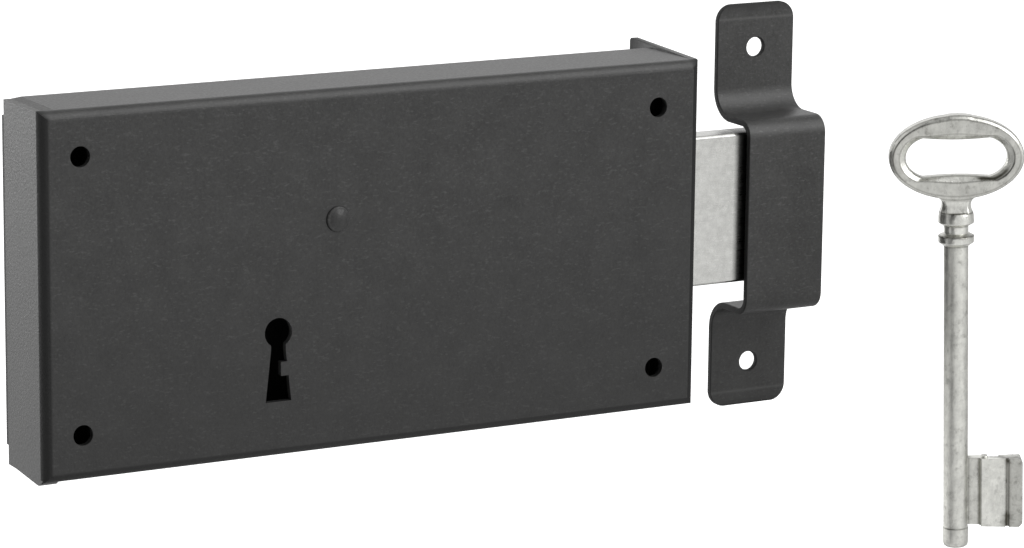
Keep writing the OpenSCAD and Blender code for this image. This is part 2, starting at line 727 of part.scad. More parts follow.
// The key's bow: a rounded ring swept between an inner and an outer oval.
module bow_ring() {
    steps = 56;
    sides = 14;
    points = [for (i = [0 : steps - 1]) let (t = 360 * (i + 0.5) / steps,
                  o = oval(bow_w / 2, bow_h / 2, 2, t), h = oval(bow_hole_w / 2, bow_hole_h / 2, 2.9, t),
                  m = (o + h) / 2, d = (o - h) / 2)
              for (j = [0 : sides - 1]) let (p = oval(1, 1, 2.6, 360 * (j + 0.5) / sides))
                  [m[0] + d[0] * p[0], bow_t / 2 * p[1], m[1] + d[1] * p[0]]];
    faces = [for (i = [0 : steps - 1]) for (j = [0 : sides - 1]) for (half = [0, 1])
                 let (a = i * sides + j, b = i * sides + (j + 1) % sides,
                      c = ((i + 1) % steps) * sides + (j + 1) % sides, d = ((i + 1) % steps) * sides + j)
                 half == 0 ? [a, c, b] : [a, d, c]];
    translate([0, 0, bow_z]) polyhedron(points, faces);
}

// Neck outline in X and Z, from the upper collar into the bow's rim.
module neck_outline() {
    top = bow_z - bow_hole_h / 2 - 1.4;
    polygon([[-3.7, neck_z0 - 0.3], [3.7, neck_z0 - 0.3], [3.25, neck_z0 + 1.6],
             [4, neck_z0 + neck_h + 0.9], [6.5, neck_z0 + neck_h + 1.6],
             [8.4, neck_z0 + neck_h + 2.3], [8.4, top], [-8.4, top], [-8.4, neck_z0 + neck_h + 2.3],
             [-6.5, neck_z0 + neck_h + 1.6], [-4, neck_z0 + neck_h + 0.9], [-3.25, neck_z0 + 1.6]]);
}

// Bit key, standing by itself beside the lock with its bow up.
module key() {
    color([0.70, 0.70, 0.67])
    translate([key_x, key_y, key_z0]) rotate([0, 0, -key_yaw]) rotate([0, -key_lean, 0]) {
        rotate_extrude() polygon(shank_profile());
        translate([0, 0, bit_z0]) linear_extrude(bit_l) bit_section();
        slab_y(-bow_t / 2 + 0.3, bow_t / 2 - 0.3) neck_outline();
        bow_ring();
    }
}

case_shell();
back_plate();
cover_screw();
guide_stud();
stud_collar();
stud_washer();
bolt_head();
bolt_tail();
bolt_rivets();
bolt_guide();
guide_rivets();
tumbler();
tumbler_peg();
tumbler_pivot();
pivot_washer();
tumbler_stop();
tumbler_spring();
spring_post();
keeper();
key();
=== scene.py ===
"""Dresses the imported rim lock: case, back plate, bolt, works, keeper and bit key, and its stage.

Every size is in metres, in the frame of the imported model: X runs the way the bolt is thrown, Y runs
into the door and Z is up.
"""
import json
from contextlib import contextmanager

import bmesh
import bpy
import numpy as np
from bpy.props import FloatProperty, FloatVectorProperty, PointerProperty
from bpy.types import Operator, Panel, PropertyGroup
from mathutils import Matrix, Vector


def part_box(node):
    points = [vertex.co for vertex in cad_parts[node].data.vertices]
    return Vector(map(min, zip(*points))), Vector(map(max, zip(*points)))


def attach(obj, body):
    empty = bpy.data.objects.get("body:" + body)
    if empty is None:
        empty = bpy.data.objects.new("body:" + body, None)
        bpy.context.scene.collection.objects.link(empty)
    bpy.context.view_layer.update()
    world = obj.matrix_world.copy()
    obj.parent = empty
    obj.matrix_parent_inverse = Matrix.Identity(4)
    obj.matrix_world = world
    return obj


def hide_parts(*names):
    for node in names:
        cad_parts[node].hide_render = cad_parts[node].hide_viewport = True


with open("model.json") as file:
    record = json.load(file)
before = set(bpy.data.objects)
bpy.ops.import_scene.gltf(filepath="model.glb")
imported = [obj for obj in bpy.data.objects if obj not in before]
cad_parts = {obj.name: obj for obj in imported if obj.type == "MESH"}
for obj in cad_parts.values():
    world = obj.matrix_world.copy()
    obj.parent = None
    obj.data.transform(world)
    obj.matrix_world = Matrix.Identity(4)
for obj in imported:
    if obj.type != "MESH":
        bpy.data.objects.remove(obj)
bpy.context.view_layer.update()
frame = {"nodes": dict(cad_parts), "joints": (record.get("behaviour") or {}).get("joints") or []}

bl_info = {
    "name": "Rim lock",
    "version": (1, 0, 0),
    "blender": (4, 5, 0),
    "location": "View3D > Sidebar > Rim lock",
    "description": "Dresses a rim lock with its keeper and its key, and sets the stage",
    "category": "Object",
}

MM = 0.001
JOINT = {joint["name"]: joint for joint in frame["joints"]}
# The angle in radians past which an edge counts as sharp
SHARP = 0.6
# Heights between which the coat is painted darker downwards, as painted shade, and the places in X, beside
# the left wall, between which that sets in
SHADE_HEIGHTS = (0.02, -0.04)
PAST_WALL = (-0.0795, -0.078)


# Sizes and colours that a user would change


class CoatSettings(PropertyGroup):
    colour: FloatVectorProperty(
        name="Coat colour", description="Colour of the powder coat on case and keeper",
        default=(0.0205, 0.0205, 0.020), subtype="COLOR", min=0, max=1)
    grain: FloatProperty(
        name="Grain", description="Size of the coat's fine texture",
        default=0.00055, unit="LENGTH", min=0.0001, max=0.005)
    depth: FloatProperty(
        name="Grain depth", description="Height of the coat's fine texture",
        default=0.00004, unit="LENGTH", min=0, max=0.001)
    roughness: FloatProperty(
        name="Coat roughness", description="How satin the coat looks, from 0 glossy to 1 dull",
        default=0.42, subtype="FACTOR", min=0, max=1)
    edge: FloatProperty(
        name="Edge rounding", description="Radius that the coat gives to cut edges",
        default=0.0003, unit="LENGTH", min=0.00005, max=0.0006)


class MetalSettings(PropertyGroup):
    bolt_colour: FloatVectorProperty(
        name="Bolt colour", description="Colour of the plated bolt",
        default=(0.56, 0.56, 0.54), subtype="COLOR", min=0, max=1)
    key_colour: FloatVectorProperty(
        name="Key colour", description="Colour of the plated key",
        default=(0.80, 0.80, 0.755), subtype="COLOR", min=0, max=1)
    steel_colour: FloatVectorProperty(
        name="Works colour", description="Colour of the plated works inside the case",
        default=(0.52, 0.52, 0.50), subtype="COLOR", min=0, max=1)


class KeeperSettings(PropertyGroup):
    thickness: FloatProperty(
        name="Strap thickness", description="Thickness of the keeper's strap",
        default=0.0015, unit="LENGTH", min=0.001, max=0.003)
    foot_bend: FloatProperty(
        name="Foot bend", description="Radius inside the bend between foot and bridge",
        default=0.0055, unit="LENGTH", min=0.003, max=0.008)
    bridge_bend: FloatProperty(
        name="Bridge bend", description="Outer radius of the bridge's corners",
        default=0.004, unit="LENGTH", min=0.003, max=0.006)
    bridge_height: FloatProperty(
        name="Bridge height", description="Outer height of the bridge",
        default=0.0458, unit="LENGTH", min=0.03, max=0.06)
    corner: FloatProperty(
        name="Foot corner", description="Radius of the feet's corners",
        default=0.004, unit="LENGTH", min=0.001, max=0.008)
    hole_spacing: FloatProperty(
        name="Hole spacing", description="Distance between the two screw holes",
        default=0.075, unit="LENGTH", min=0.05, max=0.09)
    hole: FloatProperty(
        name="Screw hole", description="Diameter of the screw holes",
        default=0.0045, unit="LENGTH", min=0.003, max=0.006)


class KeySettings(PropertyGroup):
    yaw: FloatProperty(
        name="Key turn", description="Angle by which the standing key faces the viewer",
        default=-30 * np.pi / 180, unit="ROTATION")
    lean: FloatProperty(
        name="Key lean", description="Angle by which the standing key leans towards the lock",
        default=1.8 * np.pi / 180, unit="ROTATION")
    shank: FloatProperty(
        name="Shank", description="Diameter of the shank",
        default=0.0056, unit="LENGTH", min=0.004, max=0.008)
    reach: FloatProperty(
        name="Bit reach", description="Distance from the shank's centre to the bit's edge",
        default=0.0151, unit="LENGTH", min=0.01, max=0.02)
    bow_width: FloatProperty(
        name="Bow width", description="Width of the bow",
        default=0.0305, unit="LENGTH", min=0.02, max=0.04)
    bow_height: FloatProperty(
        name="Bow height", description="Height of the bow",
        default=0.0192, unit="LENGTH", min=0.015, max=0.03)
    bow_thickness: FloatProperty(
        name="Bow thickness", description="Thickness of the bow",
        default=0.005, unit="LENGTH", min=0.003, max=0.007)
    voxel: FloatProperty(
        name="Casting detail", description="Size of the facets when the key's parts are fused",
        default=0.00017, unit="LENGTH", min=0.0001, max=0.001)


class StageSettings(PropertyGroup):
    camera_at: FloatVectorProperty(
        name="Camera place", description="Where the camera stands",
        default=(-0.4039, -0.8182, 0.1933), subtype="TRANSLATION", unit="LENGTH")
    lens: FloatProperty(
        name="Lens", description="Focal length in millimetres on a 36 mm wide sensor",
        default=147.16, min=20, max=400)
    floor: FloatProperty(
        name="Floor height", description="Height of the pale floor",
        default=-0.16, unit="LENGTH")
    lamp: FloatProperty(
        name="Lamp level", description="Strength of the soft lamps together",
        default=1.0, min=0, max=10)


SETTINGS = {
    "rim_coat": CoatSettings,
    "rim_metal": MetalSettings,
    "rim_keeper": KeeperSettings,
    "rim_key": KeySettings,
    "rim_stage": StageSettings,
}


# Surfaces as whole arrays


def quads(rows, cols, wrap_rows=False, wrap_cols=False):
    """Corner numbers of the faces of a grid: each face joins a point to its next row and column."""
    r = np.arange(rows if wrap_rows else rows - 1)[:, None]
    c = np.arange(cols if wrap_cols else cols - 1)[None, :]
    r1, c1 = (r + 1) % rows, (c + 1) % cols
    corners = [r * cols + c, r * cols + c1, r1 * cols + c1, r1 * cols + c]
    return np.stack([np.broadcast_to(k, (len(r), c.shape[1])) for k in corners], -1).reshape(-1, 4)


@contextmanager
def reworked(mesh):
    """Opens a mesh for changes to its points, edges and faces, and writes them back."""
    work = bmesh.new()
    work.from_mesh(mesh)
    yield work
    work.to_mesh(mesh)
    work.free()


def new_object(name, data):
    thing = bpy.data.objects.new(name, data)
    bpy.context.scene.collection.objects.link(thing)
    return thing


def new_piece(name, points, faces):
    """A piece from arrays of points and faces, with doubles merged and all faces pointing outwards."""
    mesh = bpy.data.meshes.new(name)
    mesh.from_pydata(np.asarray(points, float).reshape(-1, 3), [], [list(map(int, f)) for f in faces])
    with reworked(mesh) as work:
        bmesh.ops.remove_doubles(work, verts=work.verts, dist=1e-7)
        bmesh.ops.recalc_face_normals(work, faces=work.faces)
    mesh.update()
    return new_object(name, mesh)


def with_modifiers(piece):
    """Takes the result of the piece's modifiers as its mesh, and drops the modifiers."""
    bpy.context.view_layer.update()
    graph = bpy.context.evaluated_depsgraph_get()
    mesh = bpy.data.meshes.new_from_object(piece.evaluated_get(graph))
    old = piece.data
    piece.modifiers.clear()
    piece.data = mesh
    mesh.name = piece.name
    bpy.data.meshes.remove(old)
    return piece


def smooth(mesh, angle=SHARP):
    """Smooth shading that breaks at edges sharper than the angle, in radians."""
    mesh.shade_smooth()
    with reworked(mesh) as work:
        for edge in work.edges:
            edge.smooth = len(edge.link_faces) != 2 or edge.calc_face_angle(0) < angle


def even_shading(piece):
    """Smooth shading whose normals follow the large faces, so that flat sheet stays flat to its bends."""
    smooth(piece.data)
    weighted = piece.modifiers.new("flat faces", "WEIGHTED_NORMAL")
    weighted.mode = "FACE_AREA"
    weighted.weight = 80
    weighted.keep_sharp = True
    return with_modifiers(piece)


def softened_copy(node, name, edge, segments=3):
    """A copy of a CAD node with merged points, whole flat faces and softly rounded edges."""
    mesh = frame["nodes"][node].data.copy()
    mesh.materials.clear()
    with reworked(mesh) as work:
        bmesh.ops.remove_doubles(work, verts=work.verts, dist=2e-6)
        bmesh.ops.dissolve_limit(work, angle_limit=0.01, verts=work.verts, edges=work.edges)
    piece = new_object(name, mesh)
    bevel = piece.modifiers.new("soft edges", "BEVEL")
    bevel.width = edge
    bevel.segments = segments
    bevel.limit_method = "ANGLE"
    bevel.angle_limit = SHARP
    bevel.use_clamp_overlap = True
    bevel.miter_outer = "MITER_ARC"
    with_modifiers(piece)
    return even_shading(piece)


def cut_across(piece, places):
    """Cuts the piece's faces across X at each place, so that a mark has points to lie on."""
    with reworked(piece.data) as work:
        for x in places:
            parts = work.verts[:] + work.edges[:] + work.faces[:]
            bmesh.ops.bisect_plane(work, geom=parts, plane_co=(x, 0, 0), plane_no=(1, 0, 0))
    even_shading(piece)


def points_of(mesh):
    """Where the mesh's points lie, as rows of x, y and z."""
    place = np.empty(len(mesh.vertices) * 3, np.float32)
    mesh.vertices.foreach_get("co", place)
    return place.reshape(-1, 3).astype(float)


def move_points(mesh, place):
    """Puts the mesh's points at rows of x, y and z."""
    mesh.vertices.foreach_set("co", place.astype(np.float32).ravel())
    mesh.update()


def mark(piece, name, values):
    """Keeps a number from 0 to 1 at every point of the piece, for its finish to read."""
    layer = piece.data.attributes.new(name, "FLOAT", "POINT")
    layer.data.foreach_set("value", np.clip(values, 0, 1).astype(np.float32))


def near(distance, reach):
    """1 where the distance is nothing, falling in a straight line to 0 at the reach."""
    return np.clip(1 - distance / reach, 0, 1)


def bell(distance, width):
    """1 where the distance is nothing, falling softly to about a third at the width: exp(-(d / w)^2)."""
    return np.exp(-(distance / width) ** 2)


def grid(x, y, z):
    """Rows of points from their x, y and z, each a number for all, for each row or for each point."""
    return np.stack(np.broadcast_arrays(x, y, z), -1)


def turned(profile, sides):
    """A profile of radius and height turned about Z: x = r cos a, y = r sin a, z = h."""
    angle = np.linspace(0, 2 * np.pi, sides, endpoint=False)
    r, h = profile[:, :1], profile[:, 1:]
    return grid(r * np.cos(angle), r * np.sin(angle), h), quads(len(profile), sides, wrap_cols=True)


def tube(points):
    """The same rows of rings, with the faces of the tube that they make, both ends filled."""
    rows, cols = points.shape[:2]
    number = np.arange(rows * cols).reshape(rows, cols)
    return points, [*quads(rows, cols, wrap_cols=True), number[0], number[-1][::-1]]


def joined(*parts):
    """One array of points and one list of faces from several shapes."""
    points, faces, start = [], [], 0
    for part_points, part_faces in parts:
        points.append(np.asarray(part_points, float).reshape(-1, 3))
        faces += [np.asarray(face) + start for face in part_faces]
        start += len(points[-1])
    return np.concatenate(points), faces


def bent_path(start, heading, moves):
    """A path of straight runs and arcs in a plane: each arc's centre lies a radius to the turning side.

    Returns the points and the unit headings along the path. Angles are in degrees.
    """
    at, angle = np.array(start, float), np.radians(heading)
    points, headings = [at[None]], [np.array([[np.cos(angle), np.sin(angle)]])]
    for length, radius, turn in moves:
        if turn == 0:
            share = np.linspace(0, 1, 9)[1:, None]
            run = np.array([[np.cos(angle), np.sin(angle)]])
            points.append(at + share * length * run)
            headings.append(np.repeat(run, len(share), 0))
        else:
            side = np.sign(turn)
            centre = at + side * radius * np.array([-np.sin(angle), np.cos(angle)])
            along = angle + np.radians(turn) * np.linspace(0, 1, 19)[1:]
            points.append(centre - side * radius * np.stack([-np.sin(along), np.cos(along)], -1))
            headings.append(np.stack([np.cos(along), np.sin(along)], -1))
            angle = along[-1]
        at = points[-1][-1]
    return np.concatenate(points), np.concatenate(headings)


def run_length(points):
    """How far along a line each of its points lies."""
    return np.concatenate([[0], np.cumsum(np.linalg.norm(np.diff(points, axis=0), axis=1))])


def at_stops(stops, along, rows):
    """The rows of numbers that hold at places along a line, worked out for the stops between them."""
    return np.stack([np.interp(stops, along, column) for column in rows.T], -1)


def dense(corners, step, closed=False):
    """The same line of points with more of them, at most a step apart; its corners stay."""
    corners = np.asarray(corners, float)
    if closed:
        corners = np.concatenate([corners, corners[:1]])
    along = run_length(corners)
    even = np.arange(step, along[-1], step)
    clear = np.abs(even[:, None] - along).min(1) > 0.3 * step
    stops = np.sort(np.concatenate([along, even[clear]]))
    if closed:
        stops = stops[:-1]
    return at_stops(stops, along, corners)


def combine(piece, other, operation):
    """Takes the other piece out of this one (DIFFERENCE) or makes them one body (UNION)."""
    boolean = piece.modifiers.new("combine", "BOOLEAN")
    boolean.operation = operation
    boolean.object = other
    boolean.solver = "EXACT"
    with_modifiers(piece)
    spent = other.data
    bpy.data.objects.remove(other)
    bpy.data.meshes.remove(spent)


# Finishes


class Nodes:
    """The nodes of a material or a world, made by short calls."""

    def __init__(self, tree):
        self.tree = tree

    def feed(self, node, **sources):
        """Gives each named input of a node its source."""
        for name, source in sources.items():
            self.give(node.inputs[name.replace("_", " ")], source)

    def give(self, socket, source):
        """Links a socket to another, or sets it to a colour or a number."""
        if isinstance(source, bpy.types.NodeSocket):
            self.tree.links.new(source, socket)
        else:
            socket.default_value = (*source, 1) if socket.type == "RGBA" else source

    def node(self, kind, *sources, **values):
        """A new node with its settings, its first inputs fed in order with the sources."""
        node = self.tree.nodes.new("ShaderNode" + kind)
        for key, value in values.items():
            setattr(node, key, value)
        for socket, source in zip(node.inputs, sources):
            self.give(socket, source)
        return node

    def math(self, operation, *sources):
        """The result of an operation on sockets and numbers."""
        return self.node("Math", *sources, operation=operation).outputs[0]


class Finish(Nodes):
    """A material, with short calls for the patterns that every finish here needs."""

    def __init__(self, name):
        self.material = bpy.data.materials.new(name)
        self.material.use_nodes = True
        super().__init__(self.material.node_tree)
        self.shader = self.tree.nodes["Principled BSDF"]
        self.place = self.node("TexCoord").outputs["Object"]

    def stretched(self, scale):
        """The object's own coordinates, scaled along X, Y and Z."""
        mapping = self.node("Mapping", self.place)
        self.feed(mapping, Scale=scale)
        return mapping.outputs["Vector"]

    def along(self, axis):
        """How far a point lies along one of the object's own axes, in metres."""
        return self.node("SeparateXYZ", self.place).outputs[axis]

    def noise(self, size, detail, rough, vector=None):
        """Cloudy noise whose blobs are about as large as size, in metres."""
        noise = self.node("TexNoise")
        self.feed(noise, Vector=vector or self.place, Scale=1 / size, Detail=detail, Roughness=rough)
        return noise.outputs["Fac"]

    def cells(self, size):
        """Distance to the nearest of scattered points, about size apart."""
        cells = self.node("TexVoronoi", feature="SMOOTH_F1")
        self.feed(cells, Vector=self.place, Scale=1 / size)
        return cells.outputs["Distance"]

    def remap(self, value, low, high, to_low, to_high):
        """Straight line from low..high to to_low..to_high, held at its ends."""
        return self.node("MapRange", value, low, high, to_low, to_high).outputs["Result"]

    def blend(self, factor, first, second):
        """Mixes two colours, each a colour or a socket, by a factor."""
        mix = self.node("Mix", factor, data_type="RGBA")
        self.give(mix.inputs[6], first)
        self.give(mix.inputs[7], second)
        return mix.outputs[2]

    def add(self, first, second, weight=1.0):
        """first plus weight times second."""
        return self.math("MULTIPLY_ADD", second, weight, first)

    def attribute(self, name):
        return self.node("Attribute", attribute_name=name).outputs["Fac"]

    def made(self, colour, roughness, metallic, height, depth, strength):
        """The material with its colour, roughness and metal, and a bump whose height is up to depth."""
        bump = self.node("Bump")
        self.feed(bump, Height=height, Distance=depth, Strength=strength)
        self.feed(self.shader, Base_Color=colour, Roughness=roughness, Metallic=metallic,
                  Normal=bump.outputs["Normal"])
        return self.material


def shade(colour, factor):
    """The colour made darker or lighter by a factor, held at 1."""
    return tuple(min(1.0, channel * factor) for channel in colour)


def powder_coat(name, settings, tone=1.0, dull=0.0):
    """Fine-textured powder coat: close pimples, flecks and a slow mottle, with painted shade and a rougher
    coat on sheared edges.

    It is painted darker downwards, as painted shade, apart from the wall at the left. The attribute cut,
    from 0 to 1, says how much painted shade a point gets, with a rougher coat, and rub how much painted
    highlight lies along a crease or bend. Tone below 1 sets the whole coat darker and above 1 lighter, and
    dull makes it duller.
    """
    coat = Finish(name)
    colour, size = shade(settings.colour, tone), settings.grain
    mottle = coat.noise(size * 14, 4, 0.6)
    speck = coat.noise(size * 1.1, 3, 0.65)
    fleck = coat.noise(size * 0.9, 2, 0.5, coat.stretched((0.45, 1, 1)))
    grain = coat.add(coat.remap(mottle, 0.3, 0.7, 0.0, 0.42), coat.remap(speck, 0.32, 0.68, 0.0, 0.58))
    skin = coat.blend(grain, shade(colour, 0.5), shade(colour, 1.6))
    skin = coat.blend(coat.remap(fleck, 0.58, 0.76, 0.0, 0.7), skin, shade(colour, 2.8))
    # Painted highlight: creases and bends are lit lighter in the colour itself
    skin = coat.blend(coat.attribute("painted_highlight"), skin, shade(colour, 3.2))
    # Painted shade: the coat is painted darker towards the bottom, but not on the left wall
    low = coat.remap(coat.along("Z"), *SHADE_HEIGHTS, 0.0, 0.42)
    off_wall = coat.remap(coat.along("X"), *PAST_WALL, 0.0, 1.0)
    skin = coat.blend(off_wall, skin, coat.blend(low, skin, (0.0, 0.0, 0.0)))
    # Painted shade on edges, bends and hole walls, with a rougher coat
    shade_and_bare = coat.attribute("shade_and_thin_coat")
    level = settings.roughness + dull
    rough = coat.add(coat.remap(speck, 0.25, 0.75, level - 0.05, level + 0.09), shade_and_bare, 0.35)
    pimples = coat.add(coat.cells(size), speck, 0.9)
    # Painted shade: nearly black where the attribute marks it
    skin = coat.blend(shade_and_bare, skin, (0.004, 0.004, 0.004))
    return coat.made(skin, rough, 0.0, pimples, settings.depth, 0.9)


def bright_zinc(name, colour):
    """Zinc plate on rolled steel: spangle in tone, fine drawn lines and small pits.

    The attribute grime, from 0 to 1, says how much painted shade a point gets, darkening its reflection.
    """
    zinc = Finish(name)
    spangle = zinc.noise(0.0016, 3, 0.6)
    fine = zinc.noise(0.00035, 2, 0.6)
    drawn = zinc.noise(0.0004, 3, 0.6, zinc.stretched((0.06, 1, 1)))
    tone = zinc.add(zinc.remap(spangle, 0.3, 0.7, 0, 0.6), zinc.remap(fine, 0.3, 0.7, 0, 0.4))
    clean = zinc.blend(tone, shade(colour, 0.88), shade(colour, 1.26))
    # Painted shade: the attribute darkens the zinc towards near black
    shaded = zinc.blend(zinc.attribute("grime_and_shade"), clean, (0.02, 0.02, 0.018))
    rough = zinc.remap(drawn, 0.3, 0.7, 0.24, 0.36)
    return zinc.made(shaded, rough, 1.0, zinc.add(fine, drawn, 0.6), 0.00002, 0.7)


def cast_plate(name, colour):
    """Plated casting: pebbled skin, blotches and long smears in tone, dirt that stays in the grooves, and
    painted shade.

    The attributes grime and dull, from 0 to 1, say how dark a point is painted, by dirt and painted shade,
    and how matt it is.
    """
    plate = Finish(name)
    blotch = plate.noise(0.003, 5, 0.62)
    skin = plate.noise(0.0007, 3, 0.6)
    smear = plate.noise(0.0012, 4, 0.6, plate.stretched((1, 1, 0.22)))
    tone = plate.add(plate.remap(blotch, 0.32, 0.68, 0, 0.45), plate.remap(smear, 0.32, 0.68, 0, 0.35))
    tone = plate.add(tone, plate.remap(skin, 0.3, 0.7, 0, 0.2))
    clean = plate.blend(tone, shade(colour, 0.64), shade(colour, 1.2))
    smudge = plate.remap(plate.noise(0.0016, 5, 0.6), 0.55, 0.78, 0, 0.42)
    # Dirt and painted shade from the attribute, and smudges of dirt, all in one dark colour
    dirty_and_shaded = plate.blend(plate.add(plate.attribute("grime_and_shade"), smudge), clean, (0.075, 0.072, 0.058))
    rough = plate.add(plate.remap(smear, 0.3, 0.7, 0.25, 0.38), plate.attribute("dull"), 0.12)
    return plate.made(dirty_and_shaded, rough, 1.0, plate.add(skin, blotch, 1.2), 0.00006, 0.8)


def plain_metal(name, colour, low, high):
    """Machined or rolled metal: fine noise in tone, turning lines in the roughness."""
    metal = Finish(name)
    fine = metal.noise(0.0005, 3, 0.6)
    lines = metal.noise(0.0003, 2, 0.5, metal.stretched((1, 0.2, 1)))
    toned = metal.blend(fine, shade(colour, 0.8), shade(colour, 1.15))
    return metal.made(toned, metal.remap(lines, 0.3, 0.7, low, high), 1.0, fine, 0.00002, 0.6)


def wear(piece, material):
    """Gives a piece a finish in place of any other."""
    piece.data.materials.clear()
    piece.data.materials.append(material)


def dress(piece, node, body, material):
    """Gives a piece its finish, its body and the CAD node that it stands for."""
    wear(piece, material)
    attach(piece, body)
    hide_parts(node)


# Pieces


class MakeCase(Operator):
    """Softens the folded case and its back plate and gives them their powder coat"""

    bl_idname = "rim_lock.make_case"
    bl_label = "Case and back plate"

    # Outer radius of the bends
    BEND = 0.0022
    # The front's holes: places of the screws' and half the side of a square round each, and the
    # keyhole's middle, its half width and its two ends
    SCREWS_X = np.array([-71, 69]) * MM
    SCREWS_Z = 30 * MM
    SCREW_HALF = 0.0035
    KEYHOLE_X = -25.3 * MM
    KEYHOLE_HALF = 4.2 * MM
    KEYHOLE_Z = (-28.5 * MM, -8.5 * MM)
    # The stud's head: its radius, the heights of its lip and its dome, the depth of the groove between
    # them and, as shares of the radius, the groove's place and the lip's width
    HEAD = 0.0029
    LIP = 0.0005
    DOME = 0.0013
    DIP = 0.0001
    GROOVE_AT = 0.84
    LIP_WIDTH = 0.16
    # The step in the top face: its place along X, its height and the length of its ramp
    STEP_AT = -0.076
    STEP = 0.0003
    RAMP = 0.0022

    def sides(self):
        """Where the case's right end lies in X, its front in Y and its top in Z.

        The box reaches 1 mm past the top, because of the fore-end.
        """
        low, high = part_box("case_shell")
        return high[0], low[1], high[2] - MM

    def split(self, case):
        """Cuts the case inside its two end bends, so that each bend's mark ends at its own corner."""
        reach = self.sides()[0] - self.BEND - 0.2 * MM
        cut_across(case, (-reach, reach))

    def top_bend(self, case):
        """1 on the bend along the top edge of the front and 0 elsewhere."""
        y, z = points_of(case.data)[:, 1:].T
        front, top = self.sides()[1:]
        return ((z > top - 0.97 * self.BEND) & (y < front + 0.97 * self.BEND)).astype(float)

    def ramp(self, case):
        """Turns the step in the top's rear corner into a ramp: its foot moves to the rear by RAMP."""
        place = points_of(case.data)
        fall = (self.sides()[2] - place[:, 2]) / self.STEP
        foot = (np.abs(place[:, 0] - self.STEP_AT) < 0.5 * MM) & (fall > 0.4) & (fall < 1.3)
        place[foot, 0] -= self.RAMP
        move_points(case.data, place)

    def flat_dome(self, stud):
        """Presses the stud's round head into a flat lip round a low dome, and gives its side a painted
        shadow.

        With s the distance from the stud's axis, g the groove's place and w the lip's width, all over
        the head's radius, a point of the old head goes to height lip (1 - ((s - g) / w)^4) on the lip
        and lip + (dome - lip) (1 - (s / g)^2) - dip on the dome. The dip leaves the groove.
        """
        place = points_of(stud.data)
        front = self.sides()[1]
        low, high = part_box("guide_stud")
        axis_x, axis_z = (low[0] + high[0]) / 2, (low[2] + high[2]) / 2
        s = np.hypot(place[:, 0] - axis_x, place[:, 2] - axis_z) / self.HEAD
        head = place[:, 1] < front - 0.02 * MM
        lip = self.LIP * (1 - np.clip((s - self.GROOVE_AT) / self.LIP_WIDTH, 0, 1) ** 4)
        crown = (self.DOME - self.LIP) * np.clip(1 - (s / self.GROOVE_AT) ** 2, 0, 1) - self.DIP
        rise = np.where(s < self.GROOVE_AT, self.LIP + crown, lip)
        place[head, 1] = front - rise[head]
        move_points(stud.data, place)
        # Painted shadow of the gap round the stud's side
        mark(stud, "shade_and_thin_coat", 0.8 * (s > 0.97) * (place[:, 1] < front + 0.1 * MM))

    def shaded_places(self, case):
        """Where the coat gets painted shade, with a rougher coat: the walls of the front's holes, its end
        bends, its bottom bend and the fore-end's upper edge, where a shadow gap is painted.

        A hole's wall is fully shaded from 0.2 mm below the face, and a bend is marked between its edges.
        """
        x, y, z = points_of(case.data).T
        half_x, front, half_z = self.sides()
        bend = self.BEND
        screws = np.abs(x[:, None] - self.SCREWS_X).min(1) < self.SCREW_HALF
        screws &= np.abs(np.abs(z) - self.SCREWS_Z) < self.SCREW_HALF
        keyhole = np.abs(x - self.KEYHOLE_X) < self.KEYHOLE_HALF
        keyhole &= (z > self.KEYHOLE_Z[0]) & (z < self.KEYHOLE_Z[1])
        walls = (screws | keyhole) * np.clip((y - front) / (0.2 * MM), 0, 1)
        corner = np.hypot(np.abs(x) - half_x + bend / 2, y - front - bend / 2)
        below = y > front + 0.03 * MM
        ends = ((corner < 0.9 * bend) & below & (y < front + 0.98 * bend)
                & (np.abs(x) < half_x - 0.01 * MM) & (np.abs(x) > half_x - bend - 0.05 * MM))
        low = ((np.abs(x) < half_x - bend) & (z < -half_z + 0.97 * bend) & (z > -half_z + 0.01 * MM)
               & below & (y < front + 0.97 * bend))
        fore_end = (x > 77.5 * MM) & (x < 79 * MM) & (y > -2.5 * MM) & (z > half_z + 0.05 * MM)
        return np.maximum.reduce([walls, np.where(x > 0, 1.0, 0.85) * ends, 0.7 * low, 0.8 * fore_end])

    def execute(self, context):
        settings = context.scene.rim_coat
        coat = powder_coat("anthracite coat", settings)
        case = softened_copy("case_shell", "folded_case", settings.edge)
        self.ramp(case)
        self.split(case)
        # Painted shade on the hole walls, the end and bottom bends and the fore-end's upper edge
        mark(case, "shade_and_thin_coat", self.shaded_places(case))
        # Painted highlight along the bend at the front's top edge
        mark(case, "painted_highlight", 0.15 * self.top_bend(case))
        dress(case, "case_shell", "case", coat)
        plate = softened_copy("back_plate", "flat_back_plate", settings.edge)
        dress(plate, "back_plate", "case", powder_coat("plate coat", settings, 0.35, 0.25))
        stud = softened_copy("guide_stud", "domed_stud", settings.edge / 3, 2)
        self.flat_dome(stud)
        dress(stud, "guide_stud", "case", coat)
        return {"FINISHED"}


